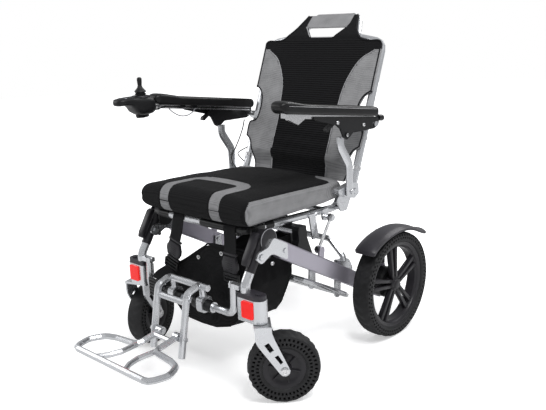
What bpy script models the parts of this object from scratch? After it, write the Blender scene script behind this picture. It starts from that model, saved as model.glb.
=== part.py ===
"""Folding power wheelchair, modelled as separate pieces in metres.

+Z is up, -Y is the front, +X is the sitter's left, and the origin is on the floor.
"""

import math

import bmesh
import bpy
from mathutils import Matrix, Vector

# General clearances
GAP = 0.0003
RUNNING = 0.0003
EMBED = 0.001
FOOTPRINT_MID = (0.025, -0.115)

# Drive wheels
DRIVE_RADIUS = 0.160
DRIVE_HALF = 0.028
DRIVE_X = 0.270
AXLE_Y = 0.222
TYRE_DEPTH = 0.031
RIM_WALL = 0.017
SPOKE_PAIRS = 5
AXLE_RADIUS = 0.007
HUB_RADIUS = 0.022
MOTOR_RADIUS = 0.046
MOTOR_NECK = 0.0195
DRIVE_STEPS = 36
FENDER_THICK = 0.004
FENDER_IN = 0.236
FENDER_OUT = 0.306

# Side beams
BEAM_X = 0.208
BEAM_THICK = 0.030
BEAM_DEPTH = 0.045
BEAM_SLOPE = math.radians(28.9)
BEAM_FRONT_Y = -0.212
BEAM_REAR_Y = 0.238
BEAM_REF_Y = -0.131
BEAM_REF_Z = 0.3265
AXLE_PLATE = 0.006
CARRIER_RADIUS = 0.008
CARRIER_X = 0.1965
CARRIER_FRONT_Y = -0.094
CARRIER_FRONT_Z = 0.2455
CARRIER_REAR_Y = 0.115
CARRIER_REAR_Z = 0.134

# Front legs and the fold linkage
LEG_X = 0.2075
LEG_RADIUS = 0.0125
FOLD_Y = -0.287
FOLD_Z = 0.369
SEAT_PIVOT_Y = -0.250
SEAT_PIVOT_Z = 0.412
LEG_TOP_Y = -0.259
LEG_TOP_Z = 0.412
LEG_KNEE_Z = 0.305
LEG_FOOT_Y = -0.328
LEG_FOOT_Z = 0.222
PIN_RADIUS = 0.005
BOLT_HEAD = 0.0085
BOLT_THICK = 0.0032
FORK_PLATE = 0.0055
FORK_IN = 0.1872
LINK_FOOT_Y = -0.037
LINK_FOOT_Z = 0.320
LINK_TOP_Y = 0.020
LINK_TOP_Z = 0.399
LINK_EYE = 0.011
LINK_IN = 0.1995
LINK_OUT = 0.2095
LINK_SLACK = 0.0015

# Casters
STEER_X = 0.248
STEER_Y = -0.3215
TRAIL = 0.0544
CASTER_RADIUS = 0.093
CASTER_HALF = 0.024
CASTER_TYRE_DEPTH = 0.038
CASTER_STEPS = 26
CASTER_BEARING_L = math.radians(47.0)
CASTER_BEARING_R = math.radians(107.0)
CROWN_TOP = 0.2125
CROWN_THICK = 0.006
FORK_WALL = 0.005
FORK_GAP = 0.004
FORK_END = 0.0135
FORK_HEEL = 0.0180
FORK_REACH = 0.0260
CASTER_AXLE = 0.006
STEM_RADIUS = 0.008
STEM_TOP = 0.255
HOUSING_BOTTOM = 0.214
HOUSING_TOP = 0.2745
HOUSING_FRONT_Y = -0.3425
HOUSING_REAR_Y = -0.3015
HOUSING_INNER_X = 0.1890
HOUSING_HEAD = 0.0195
CAP_HEIGHT = 0.011

# Front cross tube and footrest
CROSS_Y = -0.335
CROSS_Z = 0.219
CROSS_RADIUS = 0.0095
CROSS_END_X = 0.170
CROSS_END_Z = 0.302
SLEEVE_RADIUS = 0.0145
SLEEVE_IN = 0.022
SLEEVE_OUT = 0.095
FOOT_TUBE_X = 0.058
FOOT_TUBE_RADIUS = 0.0095
FOOT_TOP_Z = 0.281
FOOT_FRONT_Y = -0.392
FOOT_FRONT_Z = 0.264
FOOT_END_Y = -0.424
FOOT_END_Z = 0.098
FOOT_HINGE_Z = 0.148
PLATE_Z = 0.135
PLATE_RADIUS = 0.0085
PLATE_ARM_X = 0.034

# Seat
SEAT_TUBE_X = 0.170
SEAT_TUBE_RADIUS = 0.011
SEAT_FRONT_Z = 0.427
SEAT_REAR_Z = 0.412
SEAT_FRONT_Y = -0.287
SEAT_REAR_Y = 0.030
SEAT_PLATE_IN = 0.1803
SEAT_PLATE_OUT = 0.1863
CUSHION_HALF = 0.205
CUSHION_FRONT_Y = -0.314
CUSHION_REAR_Y = 0.085
CUSHION_BOTTOM = SEAT_FRONT_Z + SEAT_TUBE_RADIUS + GAP
CUSHION_TOP = 0.508
CUSHION_DROP = 0.030

# Back
HINGE_Y = 0.106
HINGE_Z = 0.460
HINGE_PLATE_IN = 0.197
HINGE_PLATE_OUT = 0.2016
RECLINE = math.radians(21.2)
BACK_TUBE_X = 0.2135
BACK_TUBE_RADIUS = 0.0115
SHOULDER_RISE = 0.432
HANDLE_RISE = 0.520
HANDLE_HALF = 0.086
HANDLE_LEAN = 0.030
LEAN_FROM = 0.450
PANEL_THICK = 0.008
COVER_THICK = 0.020
COVER_FOOT = 0.048
PANEL_FOOT = 0.063
FLAP_FOOT = 0.015
FLAP_THICK = 0.005

# Armrests
ARM_X = 0.239
PAD_HALF = 0.024
PAD_THICK = 0.021
PAD_SLOPE = 0.1285
PAD_FRONT_Y = -0.227
PAD_REAR_Y = 0.176
PAD_REAR_Z = 0.667
RAIL_HALF = 0.0095
RAIL_HEIGHT = 0.012
RAIL_FRONT_Y = -0.200
ARM_PIVOT_Y = 0.166
ARM_PIVOT_Z = 0.645
ARM_PLATE_IN = 0.2490
ARM_PLATE_OUT = 0.2532
POST_X = 0.2325
POST_RADIUS = 0.0068
POST_BROAD = 2.1
POST_FOOT_Y = 0.071
POST_FOOT_Z = 0.464
LEVER_Y = -0.008
LEVER_Z = 0.6705
KNOB_ROD = 0.003

# Controller
CONTROL_X = -0.239
CONTROL_HALF = 0.027
STICK_Y = -0.264
STICK_PIVOT_Z = 0.7305
STICK_TOP = 0.795
STICK_RADIUS = 0.003
CONTROL_TOP = 0.745
GIMBAL_RADIUS = 0.011
GIMBAL_HOLE = 0.005
GIMBAL_PIN = 0.0012
BOOT_RADIUS = 0.0225
BOOT_WALL = 0.002
BOOT_EDGE = 70.0
BUTTON_Y = -0.324
BUTTON_SPREAD = 0.012
BUTTON_RADIUS = 0.005
BUTTON_TRAVEL = 0.0015
MOUNT_ROD = 0.005
CABLE_RADIUS = 0.002

# Bag and battery
BAG_HALF = 0.165
BAG_FRONT_Y = -0.232
BAG_REAR_Y = -0.1035
BAG_TOP = 0.372
BAG_WALL = 0.004
BATTERY_Z = 0.1372
BATTERY_X = -0.010
BATTERY_HALF = 0.095
STRAP_THICK = 0.0025


def clear_scene():
    for scene_object in list(bpy.data.objects):
        bpy.data.objects.remove(scene_object, do_unlink=True)


def material(name, colour, roughness, metallic=0.0):
    found = bpy.data.materials.new(name)
    found.use_nodes = True
    shader = found.node_tree.nodes["Principled BSDF"]
    shader.inputs["Base Color"].default_value = (*colour, 1.0)
    shader.inputs["Roughness"].default_value = roughness
    shader.inputs["Metallic"].default_value = metallic
    return found


SILVER = ((0.80, 0.81, 0.83), 0.32, 0.6)
BLACK = ((0.022, 0.022, 0.024), 0.55)
DARK = ((0.055, 0.052, 0.058), 0.45)
GREY = ((0.30, 0.30, 0.31), 0.8)
RED = ((0.75, 0.02, 0.01), 0.3)
RUBBER = ((0.030, 0.030, 0.032), 0.75)


# Pivots and objects


def pivot(name, location, parent=None):
    empty = bpy.data.objects.new(name, None)
    bpy.context.collection.objects.link(empty)
    empty.location = location
    if parent:
        empty.parent = parent
        empty.matrix_parent_inverse = world_of(parent).inverted()
    return empty


def world_of(thing):
    world = Matrix.Translation(thing.location)
    if thing.parent:
        return world_of(thing.parent) @ thing.matrix_parent_inverse @ world
    return world


def finish_mesh(name, bm):
    bmesh.ops.remove_doubles(bm, verts=bm.verts, dist=0.00001)
    bmesh.ops.recalc_face_normals(bm, faces=bm.faces)
    mesh = bpy.data.meshes.new(name)
    bm.to_mesh(mesh)
    bm.free()
    mesh.shade_smooth()
    mesh.set_sharp_from_angle(angle=math.radians(38))
    return mesh


def piece(name, bm, look, parent):
    thing = bpy.data.objects.new(name, finish_mesh(name, bm))
    bpy.context.collection.objects.link(thing)
    thing.data.materials.append(material(name, *look))
    thing.parent = parent
    thing.matrix_parent_inverse = world_of(parent).inverted()
    return thing


def combine(thing, bm, operation):
    """Add or cut a hidden helper shape with a Boolean modifier."""
    label = f"{thing.name}_{operation.lower()}_{len(thing.modifiers)}"
    helper = bpy.data.objects.new(label, finish_mesh(label, bm))
    bpy.context.collection.objects.link(helper)
    helper.hide_render = True
    helper.display_type = "WIRE"
    helper.parent = thing.parent
    helper.matrix_parent_inverse = thing.matrix_parent_inverse
    step = thing.modifiers.new(label, "BOOLEAN")
    step.operation = operation
    step.object = helper
    return step


def add(thing, *shapes):
    for bm in shapes:
        combine(thing, bm, "UNION")


def cut(thing, *shapes):
    for bm in shapes:
        combine(thing, bm, "DIFFERENCE")


def soften(thing, width, segments=2):
    bevel = thing.modifiers.new("edges", "BEVEL")
    bevel.width = width
    bevel.segments = segments
    bevel.limit_method = "ANGLE"
    bevel.angle_limit = math.radians(40)


# Shapes


def rounded_path(points, radius, steps=4, closed=False):
    """Points of a polyline in two or three dimensions with its corners rounded."""
    corners = [Vector(p) for p in points]
    count = len(corners)
    path = []
    for index, corner in enumerate(corners):
        if not closed and index in (0, count - 1):
            path.append(corner)
            continue
        before = corners[index - 1] - corner
        after = corners[(index + 1) % count] - corner
        size = radius[index] if isinstance(radius, (list, tuple)) else radius
        angle = before.angle(after)
        if size <= 0 or angle > math.radians(179):
            path.append(corner)
            continue
        reach = min(size / math.tan(angle / 2), before.length * 0.49, after.length * 0.49)
        size = reach * math.tan(angle / 2)
        start = corner + before.normalized() * reach
        centre = corner + (before.normalized() + after.normalized()).normalized() * (
            size / math.sin(angle / 2)
        )
        first = start - centre
        last = corner + after.normalized() * reach - centre
        sweep = first.angle(last)
        for step in range(steps + 1):
            share = step / steps
            arm = first * math.sin((1 - share) * sweep) + last * math.sin(share * sweep)
            path.append(centre + arm / math.sin(sweep))
    return path


def arc(centre, radius, start, end, steps):
    """Points on an arc, angles in degrees."""
    points = []
    for step in range(steps + 1):
        angle = math.radians(start + (end - start) * step / steps)
        points.append((centre[0] + radius * math.cos(angle), centre[1] + radius * math.sin(angle)))
    return points


def to_world(axis, across, first, second):
    """Place a plane point: X slabs use (y, z), Y slabs use (x, z), Z slabs use (x, y)."""
    if axis == "X":
        return (across, first, second)
    if axis == "Y":
        return (first, across, second)
    return (first, second, across)


def slab(outline, axis, low, high):
    """An outline extruded between two planes."""
    bm = bmesh.new()
    base = [bm.verts.new(to_world(axis, low, p[0], p[1])) for p in outline]
    face = bm.faces.new(base)
    grown = bmesh.ops.extrude_face_region(bm, geom=[face])
    moved = [v for v in grown["geom"] if isinstance(v, bmesh.types.BMVert)]
    bmesh.ops.translate(bm, verts=moved, vec=Vector(to_world(axis, high - low, 0, 0)))
    return bm


def box(low, high):
    outline = [(low[1], low[2]), (high[1], low[2]), (high[1], high[2]), (low[1], high[2])]
    return slab(outline, "X", low[0], high[0])


def disc(axis, centre, radius, low, high, steps=16):
    outline = arc(centre, radius, 0, 360, steps)[:-1]
    return slab(outline, axis, low, high)


def rod(start, end, radius, steps=8):
    return sweep([start, end], radius, steps)


def lathe(profile, centre, steps, axis="X"):
    """Rings of (along, radius) about an axis; a profile that starts on the axis is a solid."""
    bm = bmesh.new()
    rings = []
    for along, radius in profile:
        if radius == 0:
            rings.append([bm.verts.new(to_world(axis, along, *centre))])
            continue
        ring = []
        for step in range(steps):
            angle = math.tau * step / steps
            first = centre[0] + radius * math.cos(angle)
            second = centre[1] + radius * math.sin(angle)
            ring.append(bm.verts.new(to_world(axis, along, first, second)))
        rings.append(ring)
    solid = profile[0][1] == 0
    for index in range(1 if solid else 0, len(rings)):
        here, there = rings[index - 1], rings[index]
        for step in range(steps):
            nxt = (step + 1) % steps
            if len(here) == 1:
                bm.faces.new((here[0], there[step], there[nxt]))
            elif len(there) == 1:
                bm.faces.new((here[step], here[nxt], there[0]))
            else:
                bm.faces.new((here[step], here[nxt], there[nxt], there[step]))
    return bm


def sweep(path, radius, sides=10, squash=1.0, closed=False):
    """A round or oval tube along a path, with flat ends, or closed on itself."""
    points = [Vector(p) for p in path]
    count = len(points)
    tangents = []
    for index in range(count):
        if closed:
            way = points[(index + 1) % count] - points[index - 1]
        else:
            way = points[min(index + 1, count - 1)] - points[max(index - 1, 0)]
        tangents.append(way.normalized())
    guide = Vector((1, 0, 0))
    if abs(tangents[0].dot(guide)) > 0.8:
        guide = Vector((0, 0, 1))
    rings = []
    bm = bmesh.new()
    for index in range(count):
        way = tangents[index]
        guide = (guide - way * guide.dot(way)).normalized()
        other = way.cross(guide)
        stretch = mitre(points, index, closed)
        ring = []
        for side in range(sides):
            angle = math.tau * (side + 0.5) / sides
            arm = guide * math.cos(angle) * radius + other * math.sin(angle) * radius * squash
            ring.append(bm.verts.new(points[index] + mitred(arm, stretch)))
        rings.append(ring)
    last = count if closed else count - 1
    shift = ring_shift(rings[-1], rings[0]) if closed else 0
    for index in range(last):
        here = rings[index]
        there = rings[(index + 1) % count]
        turn = shift if index == count - 1 else 0
        for side in range(sides):
            nxt = (side + 1) % sides
            corners = (here[side], here[nxt], there[(nxt + turn) % sides], there[(side + turn) % sides])
            bm.faces.new(corners)
    if not closed:
        bm.faces.new(rings[0])
        bm.faces.new(rings[-1])
    return bm


def ring_shift(here, there):
    """How far the last ring of a closed tube is turned from the first."""
    count = len(here)
    return min(
        range(count),
        key=lambda turn: (here[0].co - there[turn % count].co).length,
    )


def mitre(points, index, closed):
    """The direction and factor that keep a tube's width through a bend."""
    count = len(points)
    if not closed and index in (0, count - 1):
        return None
    before = (points[index] - points[index - 1]).normalized()
    after = (points[(index + 1) % count] - points[index]).normalized()
    outward = before - after
    if outward.length < 0.0001:
        return None
    half = before.angle(after) / 2
    return outward.normalized(), 1 / math.cos(half)


def mitred(arm, stretch):
    if stretch is None:
        return arm
    outward, factor = stretch
    return arm + outward * arm.dot(outward) * (factor - 1)


def mirrored(points, side):
    return [(p[0] * side, *p[1:]) for p in points]


def flat_end(centre, radius, tail, half, steps=6):
    """Outline of a bar in a plane with one round end at centre and a square end at tail."""
    way = Vector(tail) - Vector(centre)
    heading = math.degrees(math.atan2(way[1], way[0]))
    points = arc(centre, radius, heading + 90, heading + 270, steps)
    normal = Vector((-way[1], way[0])).normalized() * half
    points.append(tuple(Vector(tail) - normal))
    points.append(tuple(Vector(tail) + normal))
    return points


def beam_z(y):
    """Height of the beam's centre line."""
    return BEAM_REF_Z - (y - BEAM_REF_Y) * math.tan(BEAM_SLOPE)


def pad_bottom(y):
    """Height of the underside of the arm pad."""
    return PAD_REAR_Z + (PAD_REAR_Y - y) * PAD_SLOPE


def seat_tube_z(y):
    """Height of the seat tube's centre line."""
    slope = (SEAT_FRONT_Z - SEAT_REAR_Z) / (SEAT_REAR_Y - SEAT_FRONT_Y)
    return SEAT_REAR_Z + (SEAT_REAR_Y - y) * slope


def gather(*shapes):
    """Several separate closed shapes in one mesh."""
    bm = bmesh.new()
    for shape in shapes:
        mesh = bpy.data.meshes.new("part of a group")
        shape.to_mesh(mesh)
        shape.free()
        bm.from_mesh(mesh)
        bpy.data.meshes.remove(mesh)
    return bm


def turned(bm, angle, origin):
    """Turn a shape about the vertical and move it to its place."""
    bmesh.ops.rotate(bm, verts=bm.verts, cent=(0, 0, 0), matrix=Matrix.Rotation(angle, 3, "Z"))
    bmesh.ops.translate(bm, verts=bm.verts, vec=Vector(origin))
    return bm


def reclined(bm):
    """Move a shape drawn as (x, behind, rise) into the plane of the back."""
    bmesh.ops.rotate(bm, verts=bm.verts, cent=(0, 0, 0), matrix=Matrix.Rotation(-RECLINE, 3, "X"))
    bmesh.ops.translate(bm, verts=bm.verts, vec=Vector((0, HINGE_Y, HINGE_Z)))
    return bm


def ring_cut(axis, centre, radius, low, high, steps=12):
    """A cutter whose flats lie at the radius, so that a round pin clears them."""
    return disc(axis, centre, radius / math.cos(math.pi / steps), low, high, steps)


def bolt(axis, centre, start, thick, radius=BOLT_HEAD):
    return disc(axis, centre, radius, start, start + thick, 6)


# Chassis


def beam_top(y):
    return beam_z(y) + BEAM_DEPTH / 2 / math.cos(BEAM_SLOPE)


def beam_bottom(y):
    return beam_z(y) - BEAM_DEPTH / 2 / math.cos(BEAM_SLOPE)


def side_beam(name, side, parent):
    inner = BEAM_X - BEAM_THICK / 2
    outer = BEAM_X + BEAM_THICK / 2
    outline = [
        (BEAM_FRONT_Y, beam_bottom(BEAM_FRONT_Y)),
        (BEAM_FRONT_Y, beam_top(BEAM_FRONT_Y)),
        (BEAM_REAR_Y, beam_top(BEAM_REAR_Y)),
        (BEAM_REAR_Y, beam_bottom(BEAM_REAR_Y)),
    ]
    thing = piece(name, slab(outline, "X", inner * side, outer * side), SILVER, parent)
    soften(thing, 0.004)
    plate = [
        (0.150, beam_z(0.150)),
        (0.196, 0.212),
        (0.206, 0.238),
        (0.238, 0.238),
        (0.258, 0.180),
        (0.256, 0.135),
        (0.228, beam_z(0.228)),
    ]
    plate = rounded_path(plate, 0.010, 3, closed=True)
    bore = ring_cut("X", (AXLE_Y, DRIVE_RADIUS), MOTOR_NECK + GAP, 0.2117 * side, 0.24 * side)
    lug = flat_end(
        (LINK_FOOT_Y, LINK_FOOT_Z), 0.011, (LINK_FOOT_Y - 0.006, beam_top(LINK_FOOT_Y) - 0.012), 0.011
    )
    add(
        thing,
        slab(plate, "X", (outer - 0.008) * side, (outer + AXLE_PLATE) * side),
        slab(lug, "X", 0.2125 * side, 0.2178 * side),
        rod((0.2150 * side, LINK_FOOT_Y, LINK_FOOT_Z), (0.1965 * side, LINK_FOOT_Y, LINK_FOOT_Z), PIN_RADIUS),
        bolt("X", (LINK_FOOT_Y, LINK_FOOT_Z), 0.1992 * side, -BOLT_THICK * side),
    )
    cut(thing, bore)
    return thing


def beam_hinge(name, side, parent):
    """Two plates beside the beam's front end with a block between them."""
    plate = rounded_path(
        [
            (-0.190, beam_top(-0.190) - 0.004),
            (-0.240, beam_top(-0.240) - 0.004),
            (-0.262, 0.388),
            (-0.297, 0.382),
            (-0.306, 0.366),
            (-0.287, 0.350),
            (-0.250, beam_bottom(-0.250) + 0.003),
            (-0.190, beam_bottom(-0.190) + 0.004),
        ],
        [0.004, 0.008, 0.02, 0.010, 0.010, 0.012, 0.02, 0.004],
        3,
        closed=True,
    )
    low = [(p[0], min(p[1], 0.391)) for p in plate]
    outer = BEAM_X + BEAM_THICK / 2 + GAP
    fork_face = BEAM_X - BEAM_THICK / 2 - GAP
    thing = piece(name, slab(plate, "X", outer * side, (outer + FORK_PLATE) * side), SILVER, parent)
    block = [
        (BEAM_FRONT_Y - GAP, beam_bottom(BEAM_FRONT_Y) + 0.006),
        (BEAM_FRONT_Y - GAP, beam_top(BEAM_FRONT_Y) - 0.010),
        (BEAM_FRONT_Y - 0.009, beam_top(BEAM_FRONT_Y) - 0.008),
        (BEAM_FRONT_Y - 0.009, beam_bottom(BEAM_FRONT_Y) + 0.010),
    ]
    add(
        thing,
        slab(low, "X", fork_face * side, FORK_IN * side),
        slab(block, "X", (FORK_IN + EMBED) * side, (outer + EMBED) * side),
        bolt("X", (-0.200, beam_z(-0.200)), (outer + FORK_PLATE - EMBED) * side, 0.004 * side, 0.007),
    )
    cut(
        thing,
        ring_cut(
            "X", (FOLD_Y, FOLD_Z), PIN_RADIUS + RUNNING, 0.180 * side, (outer + FORK_PLATE + 0.002) * side
        ),
    )
    return thing


def rear_hoop(parent):
    path = [
        (0.200, 0.080, beam_top(0.080) + 0.008),
        (0.200, 0.080, 0.268),
        (0.150, 0.080, 0.313),
        (-0.150, 0.080, 0.313),
        (-0.200, 0.080, 0.268),
        (-0.200, 0.080, beam_top(0.080) + 0.008),
    ]
    thing = piece("rear_hoop", sweep(rounded_path(path, 0.02, 2), 0.009, 10), SILVER, parent)
    for side in (1, -1):
        foot = [
            (0.052, beam_top(0.052) + GAP),
            (0.052, beam_top(0.052) + 0.012),
            (0.070, beam_top(0.080) + 0.024),
            (0.092, beam_top(0.080) + 0.024),
            (0.108, beam_top(0.108) + 0.012),
            (0.108, beam_top(0.108) + GAP),
        ]
        add(thing, slab(foot, "X", 0.188 * side, 0.212 * side))
    return thing


def carrier_z(y):
    """Height of the lower carrier's centre line."""
    share = (y - CARRIER_FRONT_Y) / (CARRIER_REAR_Y - CARRIER_FRONT_Y)
    return CARRIER_FRONT_Z + (CARRIER_REAR_Z - CARRIER_FRONT_Z) * share


def lower_carrier(parent):
    """A loop of tube below the beams, hung from them by four plates."""
    loop_path = [
        (CARRIER_X, CARRIER_FRONT_Y, CARRIER_FRONT_Z),
        (-CARRIER_X, CARRIER_FRONT_Y, CARRIER_FRONT_Z),
        (-CARRIER_X, CARRIER_REAR_Y, CARRIER_REAR_Z),
        (CARRIER_X, CARRIER_REAR_Y, CARRIER_REAR_Z),
    ]
    path = rounded_path(loop_path, 0.03, 2, closed=True)
    thing = piece("lower_carrier", sweep(path, CARRIER_RADIUS, 8, closed=True), SILVER, parent)
    middle = 0.030
    add(thing, rod((-CARRIER_X, middle, carrier_z(middle)), (CARRIER_X, middle, carrier_z(middle)), 0.007))
    face = BEAM_X - BEAM_THICK / 2 - GAP
    for side in (1, -1):
        for y in (-0.052, 0.062):
            hanger = flat_end((y, carrier_z(y) - 0.004), 0.013, (y + 0.004, beam_z(y) + 0.012), 0.013)
            add(
                thing,
                slab(hanger, "X", face * side, (face - 0.005) * side),
                bolt("X", (y + 0.004, beam_z(y)), (face - 0.004) * side, -0.005 * side, 0.007),
            )
    return thing


def drive_motor(name, side, parent):
    face = BEAM_X + BEAM_THICK / 2 + AXLE_PLATE + GAP
    profile = [
        (0.2122, 0),
        (0.2122, MOTOR_NECK),
        (face, MOTOR_NECK),
        (face, MOTOR_RADIUS - 0.004),
        (face + 0.004, MOTOR_RADIUS),
        (0.257, MOTOR_RADIUS),
        (0.2615, MOTOR_RADIUS - 0.007),
        (0.2615, 0.011),
        (0.2630, 0.011),
        (0.2630, AXLE_RADIUS),
        (0.2830, AXLE_RADIUS),
        (0.2830, 0),
    ]
    profile = [(x * side, r) for x, r in profile]
    return piece(name, lathe(profile, (AXLE_Y, DRIVE_RADIUS), 16), DARK, parent)


def fender(name, side, parent):
    """Mudguard shell with a drooping outer lip and a bracket to the axle plate."""
    top = [
        (-0.143, 0.129),
        (-0.136, 0.141),
        (-0.112, 0.154),
        (-0.072, 0.168),
        (-0.022, 0.1760),
        (0.023, 0.1755),
        (0.068, 0.166),
        (0.106, 0.150),
        (0.128, 0.1415),
        (0.148, 0.1395),
    ]
    top = [(AXLE_Y + y, DRIVE_RADIUS + z) for y, z in top]
    shell = top + offset_down(top, FENDER_THICK)
    lip = offset_down(top, 0.001)[::-1][1:-1] + offset_down(top, 0.011)[1:-1]
    thing = piece(name, slab(shell, "X", FENDER_IN * side, FENDER_OUT * side), DARK, parent)
    bracket = [(-0.022, 0.054), (-0.026, 0.173), (0.018, 0.173), (0.016, 0.054)]
    bracket = [(AXLE_Y + y, DRIVE_RADIUS + z) for y, z in bracket]
    face = BEAM_X + BEAM_THICK / 2 + AXLE_PLATE + GAP
    add(
        thing,
        slab(lip, "X", (FENDER_OUT - 0.004) * side, (FENDER_OUT - 0.0003) * side),
        slab(bracket, "X", face * side, (face + 0.008) * side),
    )
    return thing


def offset_down(points, distance):
    """The same line moved toward its underside, in reverse order."""
    moved = []
    count = len(points)
    for index, point in enumerate(points):
        before = Vector(points[max(index - 1, 0)])
        after = Vector(points[min(index + 1, count - 1)])
        way = (after - before).normalized()
        moved.append((point[0] + way[1] * distance, point[1] - way[0] * distance))
    return moved[::-1]


def seat_support(name, side, parent):
    """Black block on the beam with an arm that reaches under the seat tube."""
    y = -0.118
    top = seat_tube_z(y) - SEAT_TUBE_RADIUS - 0.0006
    foot = [
        (-0.140, beam_top(-0.140) + GAP),
        (-0.134, 0.372),
        (-0.136, top - 0.010),
        (-0.132, top),
        (-0.104, top),
        (-0.100, 0.372),
        (-0.084, beam_top(-0.084) + 0.006),
        (-0.080, beam_top(-0.080) + GAP),
    ]
    thing = piece(name, slab(foot, "X", 0.1965 * side, 0.2195 * side), BLACK, parent)
    reach = [(-0.130, top - 0.009), (-0.130, top - 0.0002), (-0.106, top - 0.0002), (-0.106, top - 0.009)]
    add(thing, slab(reach, "X", 0.158 * side, 0.200 * side))
    return thing


def storage_bag(parent):
    """Open-topped bag that sags toward the middle and hangs lower on its right."""
    wall = [
        (-BAG_HALF, 0.250),
        (-BAG_HALF, 0.185),
        (-0.146, 0.150),
        (-0.118, 0.118),
        (-0.080, 0.105),
        (-0.020, 0.108),
        (0.040, 0.118),
        (0.100, 0.140),
        (0.124, 0.170),
        (0.142, 0.208),
        (BAG_HALF, 0.262),
        (BAG_HALF, BAG_TOP),
    ]
    rim = [(0.040, BAG_TOP - 0.004), (0.018, 0.352), (-0.010, 0.322), (-0.075, 0.288)]
    thing = piece("storage_bag", slab(wall + rim, "Y", BAG_FRONT_Y, BAG_REAR_Y), BLACK, parent)
    soften(thing, 0.0035)
    hollow = offset_down(wall, -BAG_WALL)
    hollow += [(-BAG_HALF + BAG_WALL, BAG_TOP + 0.01), (BAG_HALF - BAG_WALL, BAG_TOP + 0.01)]
    cut(thing, slab(hollow, "Y", BAG_FRONT_Y + BAG_WALL, BAG_REAR_Y - BAG_WALL))
    tube = (CARRIER_FRONT_Y, CARRIER_FRONT_Z)
    for x in (-0.09, 0.09):
        add(thing, disc("X", tube, CARRIER_RADIUS + 0.005, x - 0.014, x + 0.014))
        cut(thing, ring_cut("X", tube, CARRIER_RADIUS + GAP, x - 0.02, x + 0.02))
    return thing


def battery_pack(parent):
    low = (BATTERY_X - BATTERY_HALF, BAG_FRONT_Y + 0.012, BATTERY_Z)
    high = (BATTERY_X + BATTERY_HALF, BAG_REAR_Y - 0.010, BATTERY_Z + 0.100)
    thing = piece("battery_pack", box(low, high), DARK, parent)
    soften(thing, 0.006)
    top = high[2]
    add(thing, box((-0.03, low[1] + 0.03, top - 0.005), (0.03, high[1] - 0.03, top + 0.010)))
    return thing


# Drive wheels


def tyre_profile(middle, half, outer, depth, side):
    inner = outer - depth
    shape = [
        (-0.80, inner),
        (-1.00, inner + depth * 0.40),
        (-0.96, inner + depth * 0.72),
        (-0.70, inner + depth * 0.95),
        (-0.24, outer),
        (0.24, outer),
        (0.70, inner + depth * 0.95),
        (0.96, inner + depth * 0.72),
        (1.00, inner + depth * 0.40),
        (0.80, inner),
    ]
    return [((middle + x * half) * side, r) for x, r in shape]


def drive_tyre(name, side, parent):
    profile = tyre_profile(DRIVE_X, DRIVE_HALF, DRIVE_RADIUS, TYRE_DEPTH, side)
    return piece(name, lathe(profile, (AXLE_Y, DRIVE_RADIUS), DRIVE_STEPS), RUBBER, parent)


def drive_rim(name, side, parent):
    outer = DRIVE_RADIUS - TYRE_DEPTH - GAP
    inner = outer - RIM_WALL
    half = DRIVE_HALF * 0.80
    ring = [
        (DRIVE_X - half, outer),
        (DRIVE_X - half, outer - 0.005),
        (DRIVE_X - half + 0.012, inner),
        (DRIVE_X + half - 0.008, inner),
        (DRIVE_X + half, outer - 0.008),
        (DRIVE_X + half, outer),
    ]
    centre = (AXLE_Y, DRIVE_RADIUS)
    thing = piece(name, lathe([(x * side, r) for x, r in ring], centre, DRIVE_STEPS), DARK, parent)
    hub = [
        (0.2920, 0),
        (0.2920, 0.012),
        (0.2890, HUB_RADIUS - 0.003),
        (0.2850, HUB_RADIUS),
        (0.2640, HUB_RADIUS),
        (0.2640, AXLE_RADIUS + RUNNING),
        (0.2835, AXLE_RADIUS + RUNNING),
        (0.2835, 0),
    ]
    spokes = []
    for pair in range(SPOKE_PAIRS):
        heading = math.radians(95 - 72 * pair)
        for lean in (-1, 1):
            spokes.append(spoke(heading, lean, centre, outer - 0.009, side))
    add(thing, gather(*spokes), lathe([(x * side, r) for x, r in hub], centre, 16))
    return thing


def spoke(heading, lean, centre, reach, side):
    """One bar of a twin spoke, as a slab across the wheel plane."""
    shift = 0.0085 * lean
    near, far = HUB_RADIUS - 0.003, reach
    corners = [
        (near, shift - 0.0038),
        (far, shift * 1.9 - 0.0055),
        (far, shift * 1.9 + 0.0055),
        (near, shift + 0.0038),
    ]
    turn = heading if side > 0 else math.pi - heading
    outline = []
    for along, across in corners:
        # The wheel is seen from outside, where the front is on the left for +X.
        y = along * math.cos(turn) - across * math.sin(turn)
        z = along * math.sin(turn) + across * math.cos(turn)
        outline.append((centre[0] + y, centre[1] + z))
    return slab(outline, "X", 0.2740 * side, 0.2850 * side)


# Front frame


def front_leg(name, side, parent):
    path = [
        (LEG_X, LEG_TOP_Y, LEG_TOP_Z),
        (LEG_X, -0.2955, 0.3555),
        (LEG_X, LEG_FOOT_Y, LEG_KNEE_Z),
        (LEG_X, LEG_FOOT_Y, LEG_FOOT_Z),
    ]
    path = rounded_path(mirrored(path, side), [0, 0, 0.04, 0], 4)
    thing = piece(name, sweep(path, LEG_RADIUS, 14), SILVER, parent)
    fork_out = BEAM_X + BEAM_THICK / 2 + GAP + FORK_PLATE
    head = disc("X", (-0.2525, 0.407), 0.0215, 0.1962 * side, 0.2195 * side, 16)
    pin = pin_x(FOLD_Y, FOLD_Z, FORK_IN - 0.002, fork_out + 0.002, side)
    add(
        thing,
        head,
        pin,
        bolt("X", (FOLD_Y, FOLD_Z), (fork_out + 0.0006) * side, BOLT_THICK * side),
        bolt("X", (FOLD_Y, FOLD_Z), (FORK_IN - 0.0006) * side, -BOLT_THICK * side, 0.0075),
    )
    seat_bore = ring_cut("X", (SEAT_PIVOT_Y, SEAT_PIVOT_Z), PIN_RADIUS + RUNNING, 0.19 * side, 0.23 * side)
    cut(thing, seat_bore)
    return thing


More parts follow.
